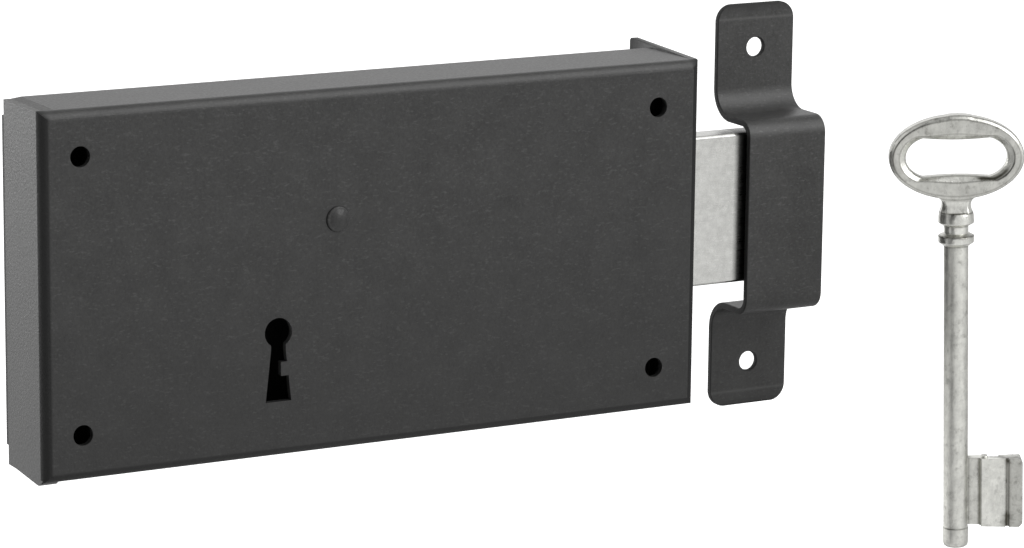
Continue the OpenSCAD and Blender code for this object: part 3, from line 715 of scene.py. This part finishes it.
class MakeBolt(Operator):
    """Breaks the bolt head's edges and gives it its zinc"""

    bl_idname = "rim_lock.make_bolt"
    bl_label = "Bolt head"

    EDGE = 0.00018

    def bolt_shade(self, place, keeper_x):
        """How much painted shade a point gets: most beside the keeper and inside it, where the keeper
        shades it and darkens its reflection, and some on the bolt's top.

        The shade grows in a straight line over 1.4 mm, to its full strength 1.2 mm before the keeper.
        """
        past = place[:, 0] - keeper_x
        beside = 0.85 * np.clip(1 + (past + 1.2 * MM) / (1.4 * MM), 0, 1) * (past < 4 * MM)
        below_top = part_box("bolt_head")[1][2] - place[:, 2]
        top_shade = np.where(below_top < 0.02 * MM, 0.3, 0.65 * (below_top < 0.16 * MM))
        return np.maximum(beside, top_shade)

    def execute(self, context):
        bolt = softened_copy("bolt_head", "plated_bolt", self.EDGE, 2)
        keeper_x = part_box("keeper")[0][0]
        cut_across(bolt, keeper_x + np.linspace(-2.6, 0.2, 9) * MM)
        # Painted shade beside the keeper and on the bolt's top
        mark(bolt, "grime_and_shade", self.bolt_shade(points_of(bolt.data), keeper_x))
        zinc = bright_zinc("bolt zinc", context.scene.rim_metal.bolt_colour)
        dress(bolt, "bolt_head", "bolt", zinc)
        return {"FINISHED"}


class MakeKeeper(Operator):
    """Bends the keeper from a flat strap with rounded corners and drills its two feet"""

    bl_idname = "rim_lock.make_keeper"
    bl_label = "Keeper"

    # Radius of the broken edges, and the distance from each end of the crease that gets a painted
    # highlight
    EDGE = 0.0003
    CREASE = 0.0034

    def strap(self, settings):
        """A rounded section carried along the bent path; near the ends its width follows the corners.

        At a distance d from an end, a corner of radius r takes r - sqrt(r^2 - (r - d)^2) off each side,
        and the broken edge takes as much off each face, with its own radius. The path's stops stand
        closer there.
        """
        edge = self.EDGE
        low, high = np.array(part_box("keeper"))
        t, inner, outer = settings.thickness, settings.foot_bend, settings.bridge_bend
        bridge_mid = (low[2] + high[2]) / 2
        reach = -low[1]
        top_bend = bridge_mid + settings.bridge_height / 2 + inner
        low_bend = bridge_mid - settings.bridge_height / 2 - inner
        riser = reach - t - inner - outer
        side = [(0, inner + t / 2, -90), (riser, 0, 0), (0, outer - t / 2, 90)]
        moves = [(high[2] - top_bend, 0, 0), *side, (settings.bridge_height - 2 * outer, 0, 0),
                 *side[::-1], (low_bend - low[2], 0, 0)]
        path, heading = bent_path((-t / 2, high[2]), -90, moves)
        along = run_length(path)
        extra = np.concatenate([edge * (1 - np.cos(np.linspace(0, np.pi / 2, 6))),
                                np.linspace(edge, settings.corner, 14)[1:]])
        stops = np.unique(np.concatenate([along, extra, along[-1] - extra]))
        at, head = at_stops(stops, along, path), at_stops(stops, along, heading)
        head /= np.linalg.norm(head, axis=1, keepdims=True)
        normal = np.stack([head[:, 1], -head[:, 0]], -1)
        end = np.minimum(stops, along[-1] - stops)
        inside = np.clip(settings.corner - end, 0, None)
        half_w = (high[0] - low[0]) / 2 - settings.corner + np.sqrt(settings.corner ** 2 - inside ** 2)
        lip = np.clip(edge - end, 0, None)
        shrink = edge - np.sqrt(np.clip(edge ** 2 - lip ** 2, 0, None))
        half_t = t / 2 - shrink
        turn = np.linspace(0, np.pi / 2, 6)
        angle = (np.arange(4)[:, None] * np.pi / 2 + turn).ravel()
        sign_x = np.repeat([1, -1, -1, 1], len(turn))
        sign_t = np.repeat([1, 1, -1, -1], len(turn))
        across = sign_x * (half_w[:, None] - edge) + edge * np.cos(angle)
        through = sign_t * (half_t[:, None] - edge) + edge * np.sin(angle)
        points = grid((low[0] + high[0]) / 2 + across, at[:, :1] + through * normal[:, :1],
                      at[:, 1:] + through * normal[:, 1:])
        return tube(points)

    def drill(self, settings, x, z):
        """A drill that widens in two cones through both faces, so that the hole's rims are broken.

        The outer cone meets the face at 45 degrees, at an edge's width from the hole's wall.
        """
        t, r, edge = settings.thickness, settings.hole / 2, self.EDGE
        mouth = np.array([[0, -MM], [r + edge + MM, -MM], [r + 0.35 * edge, 0.65 * edge], [r, 1.6 * edge]])
        points, faces = turned(np.concatenate([mouth, mouth[::-1] * [1, -1] + [0, t]]), 48)
        return points[..., [0, 2, 1]] * [1, -1, 1] + [x, 0, z], faces

    def shaded_edges(self, keeper, settings):
        """Painted shade: 1 on the strap's sheared edges and hole walls, falling to 0 an edge's width
        inside its outline.

        Seen from the front the outline is a rounded rectangle: with q = |p| - (half size - corner), a
        point lies corner - |max(q, 0)| - min(max(q), 0) inside it.
        """
        low, high = np.array(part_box("keeper"))[:, [0, 2]]
        place = points_of(keeper.data)[:, [0, 2]] - (low + high) / 2
        past = np.abs(place) - ((high - low) / 2 - settings.corner)
        inside = settings.corner - np.linalg.norm(np.maximum(past, 0), axis=1) - np.minimum(past.max(1), 0)
        up = np.abs(place[:, 1]) - settings.hole_spacing / 2
        from_hole = np.hypot(place[:, 0], up) - settings.hole / 2
        return near(np.clip(np.minimum(inside, from_hole), 0, None), self.EDGE)

    def execute(self, context):
        settings = context.scene.rim_keeper
        keeper = new_piece("bent_keeper", *self.strap(settings))
        low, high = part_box("keeper")
        mid_x, mid_z = (low[0] + high[0]) / 2, (low[2] + high[2]) / 2
        for side in (-1, 1):
            drill = self.drill(settings, mid_x, mid_z + side * settings.hole_spacing / 2)
            combine(keeper, new_piece("drill", *drill), "DIFFERENCE")
        # Painted shade on the keeper's sheared edges and hole walls
        mark(keeper, "shade_and_thin_coat", self.shaded_edges(keeper, settings))
        z = points_of(keeper.data)[:, 2]
        from_end = np.minimum(high[2] - z, z - low[2])
        # Painted highlight along the crease near each end of the keeper
        mark(keeper, "painted_highlight", 0.55 * near(np.abs(from_end - self.CREASE), 0.45 * MM))
        even_shading(keeper)
        # Painted light: the case's coat made lighter for the keeper, which is lit brighter
        coat = powder_coat("keeper coat", context.scene.rim_coat, 1.5)
        dress(keeper, "keeper", "case", coat)
        return {"FINISHED"}


class MakeKey(Operator):
    """Makes the bit key: turned shank and collars, grooved bit, and the swept bow cast on its neck"""

    bl_idname = "rim_lock.make_key"
    bl_label = "Key"

    # In millimetres, heights above the tip: the ring, the bit, the two collars, the neck and the
    # bow's middle
    RING = 4.55
    BIT_LOW = 5.35
    BIT_TOP = 21.1
    LOW_COLLAR = 70.8
    HIGH_COLLAR = 75.45
    NECK = 78.7
    BOW = 91.3
    # Distances from the shank's axis at which the bit's step and groove begin and end
    STEP = (5.1, 5.75)
    GROOVE = (11.25, 12.05)
    # The bit's half thickness, how far out it is that thick, and how much it gains per millimetre
    ROOT_HALF = 1.55
    ROOT = 2.3
    TAPER = 0.102

    def shank(self, settings):
        """The turned part: blunt tip, plain shank and two bevelled collars, as radius and height."""
        r = settings.shank / 2 / MM
        tip, ring, low, high, neck = r + 0.1, self.RING, self.LOW_COLLAR, self.HIGH_COLLAR, self.NECK
        profile = dense([
            [0, 0], [tip - 1.15, 0], [tip - 0.6, 0.13], [tip - 0.22, 0.42], [tip - 0.06, 0.85], [tip, 1.4],
            [tip, ring - 0.06], [tip - 0.12, ring], [r + 0.02, ring + 0.1], [r, ring + 0.5],
            [r, low - 1.0], [r, low], [4.0, low + 0.85], [4.08, low + 1.0], [4.08, low + 2.33],
            [4.0, low + 2.43], [r, low + 3.05], [r, high], [4.0, high + 0.7], [4.08, high + 0.85],
            [4.06, high + 2.1], [3.96, high + 2.8], [3.82, neck - 0.04], [3.72, neck], [0, neck]], 0.2)
        profile = profile[(profile[:, 1] < ring + 1.2) | (profile[:, 1] > low - 1.0) |
                          (np.arange(len(profile)) % 4 == 0)]
        return turned(profile * MM, 96)

    def bow_outlines(self, settings, angle):
        """Distances from the bow's centre to its outer and inner edge at polar angles.

        The outer edge is an ellipse with a slight flat of metal left at its top. The inner edge is the
        lower of two curves: a sagging top, h + k x^2, and a wide ellipse about a point nearer each end.
        """
        a, b = settings.bow_width / 2, settings.bow_height / 2
        outer = 1 / np.hypot(np.cos(angle) / a, np.sin(angle) / b)
        # The flat is 4.6 mm long, lies 0.65 mm aside and stands 0.13 mm proud
        aside = np.abs(outer * np.cos(angle) / MM - 0.65)
        outer = outer + (np.sin(angle) > 0) * near(np.clip(aside - 2.3, 0, None), 0.8) * 0.13 * MM
        end_at, end_a, end_b = 5.6, 5.82, 4.68
        x = end_at + end_a * np.sin(np.linspace(0, np.pi / 2, 80))
        x = np.concatenate([np.linspace(0, end_at, 30)[:-1], x])
        z = np.minimum(4.03 + 0.4 * (x / 7.6) ** 2,
                       end_b * np.sqrt(np.clip(1 - (np.clip(x - end_at, 0, None) / end_a) ** 2, 0, 1)))
        folded = np.abs(np.arctan2(np.sin(angle), np.cos(angle)))
        folded = np.minimum(folded, np.pi - folded)
        return outer, np.interp(folded, np.arctan2(z, x)[::-1], np.hypot(x, z)[::-1]) * MM

    def bow(self, settings):
        """A ring whose section has a narrow outer chamfer, a flat face and a broad inner bevel.

        At polar angle t the section runs from the outer to the inner edge along the ray through the
        centre. Each of its points lies u in from the outer edge or v out from the inner edge, and at a
        depth of its own before and behind the middle.
        """
        angle = 2 * np.pi * (np.arange(360) + 0.5) / 360
        outer, inner = self.bow_outlines(settings, angle)
        half = settings.bow_thickness / 2
        u = np.array([0.0, 0.1, 0.72, 0.92]) * MM
        u_depth = half - np.array([1.0, 0.6, 0.06, 0.0]) * MM
        v = np.array([1.7, 1.45, 0.25, 0.0]) * MM
        v_depth = half - np.array([0.0, 0.1, 1.05, 1.55]) * MM
        far = np.concatenate([outer[:, None] - u, inner[:, None] + v], 1)
        far = np.concatenate([far, far[:, ::-1]], 1)
        depth = np.concatenate([u_depth, v_depth])
        depth = np.concatenate([-depth, depth[::-1]])
        points = grid(far * np.cos(angle)[:, None], depth, far * np.sin(angle)[:, None] + self.BOW * MM)
        return points, quads(len(angle), far.shape[1], True, True)

    def neck(self):
        """Eight-sided sections: flat front and back, narrower sides and four facets between them.

        Half width, half depth, half width of the flat and half depth of the sides follow the height
        above the upper collar, and the width flares out along the bow's lower edge.
        """
        rise = np.array([-0.3, 0.0, 0.5, 1.0, 1.6, 2.2, 2.8, 3.3, 3.7, 4.1, 4.7, 5.6, 6.6])
        width = np.array([3.7, 3.7, 3.52, 3.36, 3.25, 3.27, 3.5, 4.0, 4.7, 5.7, 7.2, 8.4, 8.0])
        depth = np.array([3.4, 3.3, 2.9, 2.65, 2.52, 2.5, 2.5, 2.5, 2.5, 2.5, 2.48, 2.4, 2.2])
        flat = np.array([2.6, 2.6, 2.5, 2.45, 2.45, 2.6, 2.85, 3.3, 4.0, 4.9, 6.4, 7.6, 7.2])
        side = np.array([1.9, 1.9, 1.7, 1.55, 1.5, 1.5, 1.5, 1.5, 1.5, 1.5, 1.5, 1.4, 1.2])
        x = np.stack([flat, width, width, flat, -flat, -width, -width, -flat], -1)
        y = np.stack([-depth, -side, side, depth, depth, side, -side, -depth], -1)
        return tube(grid(x, y, (self.NECK + rise)[:, None]) * MM)

    def bit(self, settings):
        """The wedge-shaped bit: its section across the shank is carried up it.

        At r from the shank's axis the faces lie root_half + taper (r - root) from the middle. The front
        has a recess, a step, a raised middle, a groove and an outer strip; the back has one wide groove
        for the keyhole's ward. The outer corners are rounded: with t from 1 at an end to 0 a millimetre
        inside it, r is at most the reach less 0.9 (1 - sqrt(1 - t^2)). The raised strips of the front
        start a little lower than the recess, and the back's outer strip stops a little lower.
        """
        reach = settings.reach / MM + 0.03
        (step0, step1), (groove0, groove1) = self.STEP, self.GROOVE
        corners = np.array([
            [2.0, 0.8], [step0, 0.8], [step1, 0], [groove0, 0], [groove0 + 0.08, 0.85],
            [groove1 - 0.08, 0.85], [groove1, 0], [reach - 0.12, 0], [reach, 0.12]])
        front = corners[:, 1] - self.ROOT_HALF - self.TAPER * (corners[:, 0] - self.ROOT)
        thick = self.ROOT_HALF + self.TAPER * (reach - self.ROOT)
        back = np.array([[reach, thick - 0.12], [reach - 0.12, thick], [9.95, 2.33], [9.8, 0.4],
                         [6.5, 0.4], [6.35, 1.96], [2.0, 1.52]])
        section = dense(np.concatenate([np.stack([corners[:, 0], front], -1), back]), 0.22, closed=True)
        r, y = section.T
        z = np.linspace(self.BIT_LOW, self.BIT_TOP, 72)
        into = np.clip(1 - np.minimum(z - z[0], 1.1 * (z[-1] - z)), 0, 1)
        limit = reach - 0.9 * (1 - np.sqrt(1 - into ** 2))
        points = grid(np.minimum(r, limit[:, None]), y, z[:, None])
        points[0, (y < -1.0) & (r > step1 - 0.1), 2] -= 0.32
        points[-1, (y > 1.9) & (r > 9.8), 2] -= 0.3
        return tube(points * MM)

    def burr(self):
        """The small hump on the bit's top edge: a low block whose outline is a superellipse.

        The cube of |x / half width| and the cube of |y / half depth| make 1 together all round.
        """
        angle = 2 * np.pi * (np.arange(32) + 0.5) / 32
        c, s = np.cos(angle), np.sin(angle)
        shrink = np.array([1.0, 1.0, 0.93, 0.75, 0.5])[:, None]
        height = self.BIT_TOP + np.array([-1, 0.2, 0.38, 0.48, 0.52])[:, None]
        x, y = 0.75 * np.sign(c) * np.abs(c) ** (2 / 3), 1.3 * np.sign(s) * np.abs(s) ** (2 / 3)
        return tube(grid(6.55 + x * shrink, y * shrink, height) * MM)

    def bow_and_neck(self, settings):
        """Fuses bow and neck into one skin of even facets and eases it like a casting."""
        head = new_piece("key_head", *joined(self.bow(settings), self.neck()))
        remesh = head.modifiers.new("fuse", "REMESH")
        remesh.mode = "VOXEL"
        remesh.voxel_size = settings.voxel
        ease = head.modifiers.new("ease", "SMOOTH")
        ease.factor = 0.5
        ease.iterations = 3
        return with_modifiers(head)

    def close(self, mesh):
        """Fills the hair-thin slits that the unions leave where edges lie in one line.

        It splits all faces into triangles too, so that every edge has just two of them.
        """
        with reworked(mesh) as work:
            bmesh.ops.holes_fill(work, edges=work.edges, sides=0)
            bmesh.ops.triangulate(work, faces=work.faces, quad_method="BEAUTY", ngon_method="BEAUTY")

    def fused(self, settings):
        """One body from shank, bit and head."""
        key = new_piece("cast_key", *self.shank(settings))
        for name, part in (("bit", self.bit(settings)), ("burr", self.burr())):
            combine(key, new_piece(name, *part), "UNION")
        combine(key, self.bow_and_neck(settings), "UNION")
        self.close(key.data)
        return key

    def grime_and_shade(self, settings, place, normal):
        """How dark a point is painted: dirt and tarnish in grooves, painted shade in corners and along
        edges, and a little painted shade on flat faces.

        Each dark line is a bell across its groove or edge.
        """
        x, y, z = (place / MM).T
        out = np.hypot(x, y)
        (step0, step1), (groove0, groove1) = self.STEP, self.GROOVE
        # The bit: dirt in its groove and the back's groove, and painted shade along its step, on its
        # recess and outer strip, on the faces that look up and at its root
        in_bit = (z > self.BIT_LOW - 0.7) & (z < self.BIT_TOP + 0.1) & (x > 2.75)
        front = in_bit & (y < 0)
        ends = 0.3 * (near(np.abs(z - 6.6), 2.6) + near(np.abs(z - 20.6), 1.2))
        total = front * bell(x - (groove0 + groove1) / 2, 0.48) * (0.78 + ends)
        total += front * 0.5 * bell(x - groove0 + 0.3, 0.8) * near(np.abs(z - 6.3), 2.6)
        total += front * 0.62 * bell(x - (step0 + step1) / 2, 0.3)
        total += front * (0.24 * (x < step0) + 0.38 * (x > groove1))
        total += 0.42 * near(1 - normal[:, 2], 0.45) * (z > self.RING)
        total += 0.10 * (out < 2.98) * (z < self.LOW_COLLAR)
        total += in_bit * (0.5 * ((x > 6.4) & (x < 9.9) & (y > 0) & (y < 0.8)) + 0.4 * bell(x - 2.8, 0.3))
        # The shank: a stripe of painted shade at its left, dulling its reflection there, and a darker ring
        # above its tip
        side = np.degrees(np.arctan2(y, x))
        total += 0.18 * near(np.abs(side + 152), 34) * (out < 3.1) * (z < self.LOW_COLLAR)
        tip_ring = 0.25 + 0.5 * near(np.abs(side + 118), 35) + 0.3 * near(np.abs(side + 60), 25)
        total += tip_ring * bell(z - self.RING - 0.05, 0.17) * (x < 3.4)
        # Painted shade in the corners under and over the collars
        for height, weight in ((self.LOW_COLLAR, 0.4), (self.LOW_COLLAR + 2.4, 0.6),
                               (self.HIGH_COLLAR, 0.4), (self.NECK, 0.75)):
            total += weight * bell(z - height, 0.16)
        # The bow: painted shade on its flat faces and in lines along its bevels and edges, and tarnish at
        # its lower right
        angle = np.arctan2(z - self.BOW, x)
        outer, inner = self.bow_outlines(settings, angle)
        from_centre = np.hypot(x, z - self.BOW)
        inwards, outwards = outer / MM - from_centre, from_centre - inner / MM
        in_bow = (z > self.BOW - 10) & (np.abs(y) > 1.2)
        total += in_bow * (0.23 * (np.abs(y) > 2.35) + 0.34 * bell(inwards - 0.85, 0.16) + 0.02)
        total += in_bow * 0.34 * bell(outwards - 1.6, 0.14)
        total += in_bow * (0.34 * bell(inwards - 0.05, 0.16) + 0.3 * bell(outwards - 0.05, 0.14))
        tarnish = near(np.abs(np.degrees(angle) + 28), 22) * 2.2
        total += in_bow * (y < 0) * np.clip(tarnish, 0, 0.95) * bell(outwards - 0.9, 0.55)
        return np.clip(total, 0, 1)

    def execute(self, context):
        settings = context.scene.rim_key
        key = self.fused(settings)
        mesh = key.data
        normal = np.empty(len(mesh.vertices) * 3, np.float32)
        mesh.vertices.foreach_get("normal", normal)
        place = points_of(mesh)
        # Dirt in the grooves, and painted shade in corners, on faces that look up and along edges
        mark(key, "grime_and_shade", self.grime_and_shade(settings, place, normal.reshape(-1, 3)))
        on_shank = (np.hypot(place[:, 0], place[:, 1]) < 3 * MM) & (place[:, 2] < self.LOW_COLLAR * MM)
        mark(key, "dull", on_shank)
        stood = Matrix.Translation(JOINT["key_turn"]["pos_m"])
        stood = stood @ Matrix.Rotation(settings.yaw, 4, "Z") @ Matrix.Rotation(-settings.lean, 4, "Y")
        mesh.transform(stood)
        smooth(mesh, 0.9)
        plate = cast_plate("key plate", context.scene.rim_metal.key_colour)
        dress(key, "key", "key", plate)
        return {"FINISHED"}


class FinishWorks(Operator):
    """Gives every small part of the works inside the case its own metal"""

    bl_idname = "rim_lock.finish_works"
    bl_label = "Works"

    ZINC_NODES = ("cover_screw", "stud_washer", "bolt_tail", "bolt_rivets", "bolt_guide", "guide_rivets",
                  "tumbler_peg", "tumbler_pivot", "pivot_washer", "tumbler_stop", "spring_post")

    def execute(self, context):
        zinc = bright_zinc("works zinc", context.scene.rim_metal.steel_colour)
        finishes = {node: zinc for node in self.ZINC_NODES}
        finishes["stud_collar"] = plain_metal("turned brass", (0.60, 0.47, 0.22), 0.25, 0.4)
        finishes["tumbler"] = plain_metal("yellow steel", (0.48, 0.42, 0.27), 0.3, 0.5)
        finishes["tumbler_spring"] = plain_metal("blued steel", (0.10, 0.12, 0.18), 0.25, 0.4)
        for node, finish in finishes.items():
            wear(frame["nodes"][node], finish)
        return {"FINISHED"}


class SetStage(Operator):
    """Sets the pale floor, the soft light and the camera"""

    bl_idname = "rim_lock.set_stage"
    bl_label = "Stage"

    # Brightness of the surround by the way it lies, in degrees from +X towards +Y
    RING = ((0, 0.55), (18, 0.6), (42, 0.85), (62, 1.0), (165, 1.0), (184, 0.9), (194, 0.12), (224, 0.12),
            (234, 0.9), (262, 0.97), (308, 0.97), (325, 0.85), (342, 0.6), (360, 0.55))
    # Name, place, width in metres and power in watts of each square lamp
    LAMPS = (
        ("right light", (0.9, -1.4, 0.9), 1.2, 9),
        ("left light", (-0.9, 1.5, 0.15), 1.0, 16),
        ("top light", (0.9, -0.8, 1.4), 1.4, 11.5),
        ("back light", (0.9, 1.3, 0.6), 1.0, 1.4),
    )
    # Half the floor's width, how much it glows to the camera, and how bright the surround is
    FLOOR_HALF = 6.0
    GLOW = 0.55
    LEVEL = 0.8
    # The camera's own X, Y and Z in the frame: right, up and back
    CAMERA_AXES = ((0.8782, -0.4781, 0.0110), (0.0925, 0.1924, 0.9770), (-0.4692, -0.8570, 0.2132))

    def ring(self, nodes, place):
        """The surround's brightness in the direction of a place: its angle about Z picks it from RING."""
        split = nodes.node("SeparateXYZ", place)
        angle = nodes.math("ARCTAN2", split.outputs["Y"], split.outputs["X"])
        share = nodes.math("MULTIPLY_ADD", angle, 0.5 / np.pi, 1.0)
        ramp = nodes.node("ValToRGB", nodes.math("FRACT", share))
        ramp.color_ramp.interpolation = "EASE"
        stops = ramp.color_ramp.elements
        while len(stops) < len(self.RING):
            stops.new(0.5)
        for stop, (degrees, level) in zip(stops, self.RING):
            stop.position = degrees / 360
            stop.color = (level, level, level, 1)
        return ramp.outputs["Color"]

    def floor(self, height):
        """A wide pale floor that keeps the object's shadow; in reflections it carries on the surround."""
        half = self.FLOOR_HALF
        corners = [(-half, -half), (half, -half), (half, half), (-half, half)]
        floor = new_piece("pale_floor", [(*corner, height) for corner in corners], [range(4)])
        pale = Finish("pale floor")
        ray = pale.node("LightPath").outputs
        glow = pale.math("MULTIPLY", ray["Is Camera Ray"], self.GLOW)
        pale.feed(pale.shader, Base_Color=(0.8, 0.8, 0.8), Roughness=0.9, Specular_IOR_Level=0,
                  Emission_Color=(1, 1, 1), Emission_Strength=glow)
        mirrored = pale.math("MAXIMUM", ray["Is Glossy Ray"], ray["Is Transmission Ray"])
        surround = pale.node("Emission", self.ring(pale, pale.place))
        mix = pale.node("MixShader", mirrored, pale.shader.outputs[0], surround.outputs[0])
        pale.feed(pale.tree.nodes["Material Output"], Surface=mix.outputs[0])
        wear(floor, pale.material)

    def world(self):
        """A white surround with one dark gap beside the camera, plain white where the camera sees it."""
        world = bpy.data.worlds.new("surround")
        bpy.context.scene.world = world
        world.use_nodes = True
        world.node_tree.nodes.clear()
        sky = Nodes(world.node_tree)
        ring = self.ring(sky, sky.node("TexCoord").outputs["Generated"])
        camera_ray = sky.node("LightPath").outputs["Is Camera Ray"]
        level = sky.math("MAXIMUM", camera_ray, sky.math("MULTIPLY", ring, self.LEVEL))
        background = sky.node("Background", (1, 1, 1), level)
        sky.node("OutputWorld", background.outputs[0])

    def stand(self, name, data, axes, place):
        """Sets a lamp or the camera at its place, with its own X, Y and Z along the axes."""
        thing = new_object(name, data)
        thing.matrix_world = Matrix([*np.column_stack([*axes, place]).tolist(), [0, 0, 0, 1]])
        return thing

    def lamp(self, name, place, width, watts):
        """A soft lamp that faces the lock's middle."""
        light = bpy.data.lights.new(name, "AREA")
        light.size = width
        light.energy = watts
        back = np.array(place) / np.linalg.norm(place)
        side = np.cross((0, 0, 1), back)
        side /= np.linalg.norm(side)
        self.stand(name, light, (side, np.cross(back, side), back), place)

    def camera(self, settings):
        """The camera that sees the lock and its key as the photograph does."""
        view = bpy.data.cameras.new("photo view")
        view.sensor_width = 36
        view.lens = settings.lens
        view.clip_end = 50
        camera = self.stand("photo view", view, self.CAMERA_AXES, settings.camera_at)
        bpy.context.scene.camera = camera

    def execute(self, context):
        settings = context.scene.rim_stage
        context.scene.view_settings.view_transform = "Standard"
        self.floor(settings.floor)
        self.world()
        for name, place, width, watts in self.LAMPS:
            self.lamp(name, place, width, watts * settings.lamp)
        self.camera(settings)
        return {"FINISHED"}


class RimLockPanel(Panel):
    """Lists the steps and their settings"""

    bl_idname = "VIEW3D_PT_rim_lock"
    bl_label = "Rim lock"
    bl_space_type = "VIEW_3D"
    bl_region_type = "UI"
    bl_category = "Rim lock"

    def draw(self, context):
        for operator in OPERATORS:
            self.layout.operator(operator.bl_idname)
        for name, group in SETTINGS.items():
            box = self.layout.box()
            settings = getattr(context.scene, name)
            for prop in group.__annotations__:
                box.prop(settings, prop)


OPERATORS = (MakeCase, MakeBolt, MakeKeeper, MakeKey, FinishWorks, SetStage)
CLASSES = (*SETTINGS.values(), *OPERATORS, RimLockPanel)


def register():
    for cls in CLASSES:
        bpy.utils.register_class(cls)
    for name, group in SETTINGS.items():
        setattr(bpy.types.Scene, name, PointerProperty(type=group))


def unregister():
    for name in SETTINGS:
        delattr(bpy.types.Scene, name)
    for cls in reversed(CLASSES):
        bpy.utils.unregister_class(cls)


def main():
    register()
    bpy.ops.rim_lock.make_case()
    bpy.ops.rim_lock.make_bolt()
    bpy.ops.rim_lock.make_keeper()
    bpy.ops.rim_lock.make_key()
    bpy.ops.rim_lock.finish_works()
    bpy.ops.rim_lock.set_stage()


if __name__ == "__main__":
    main()
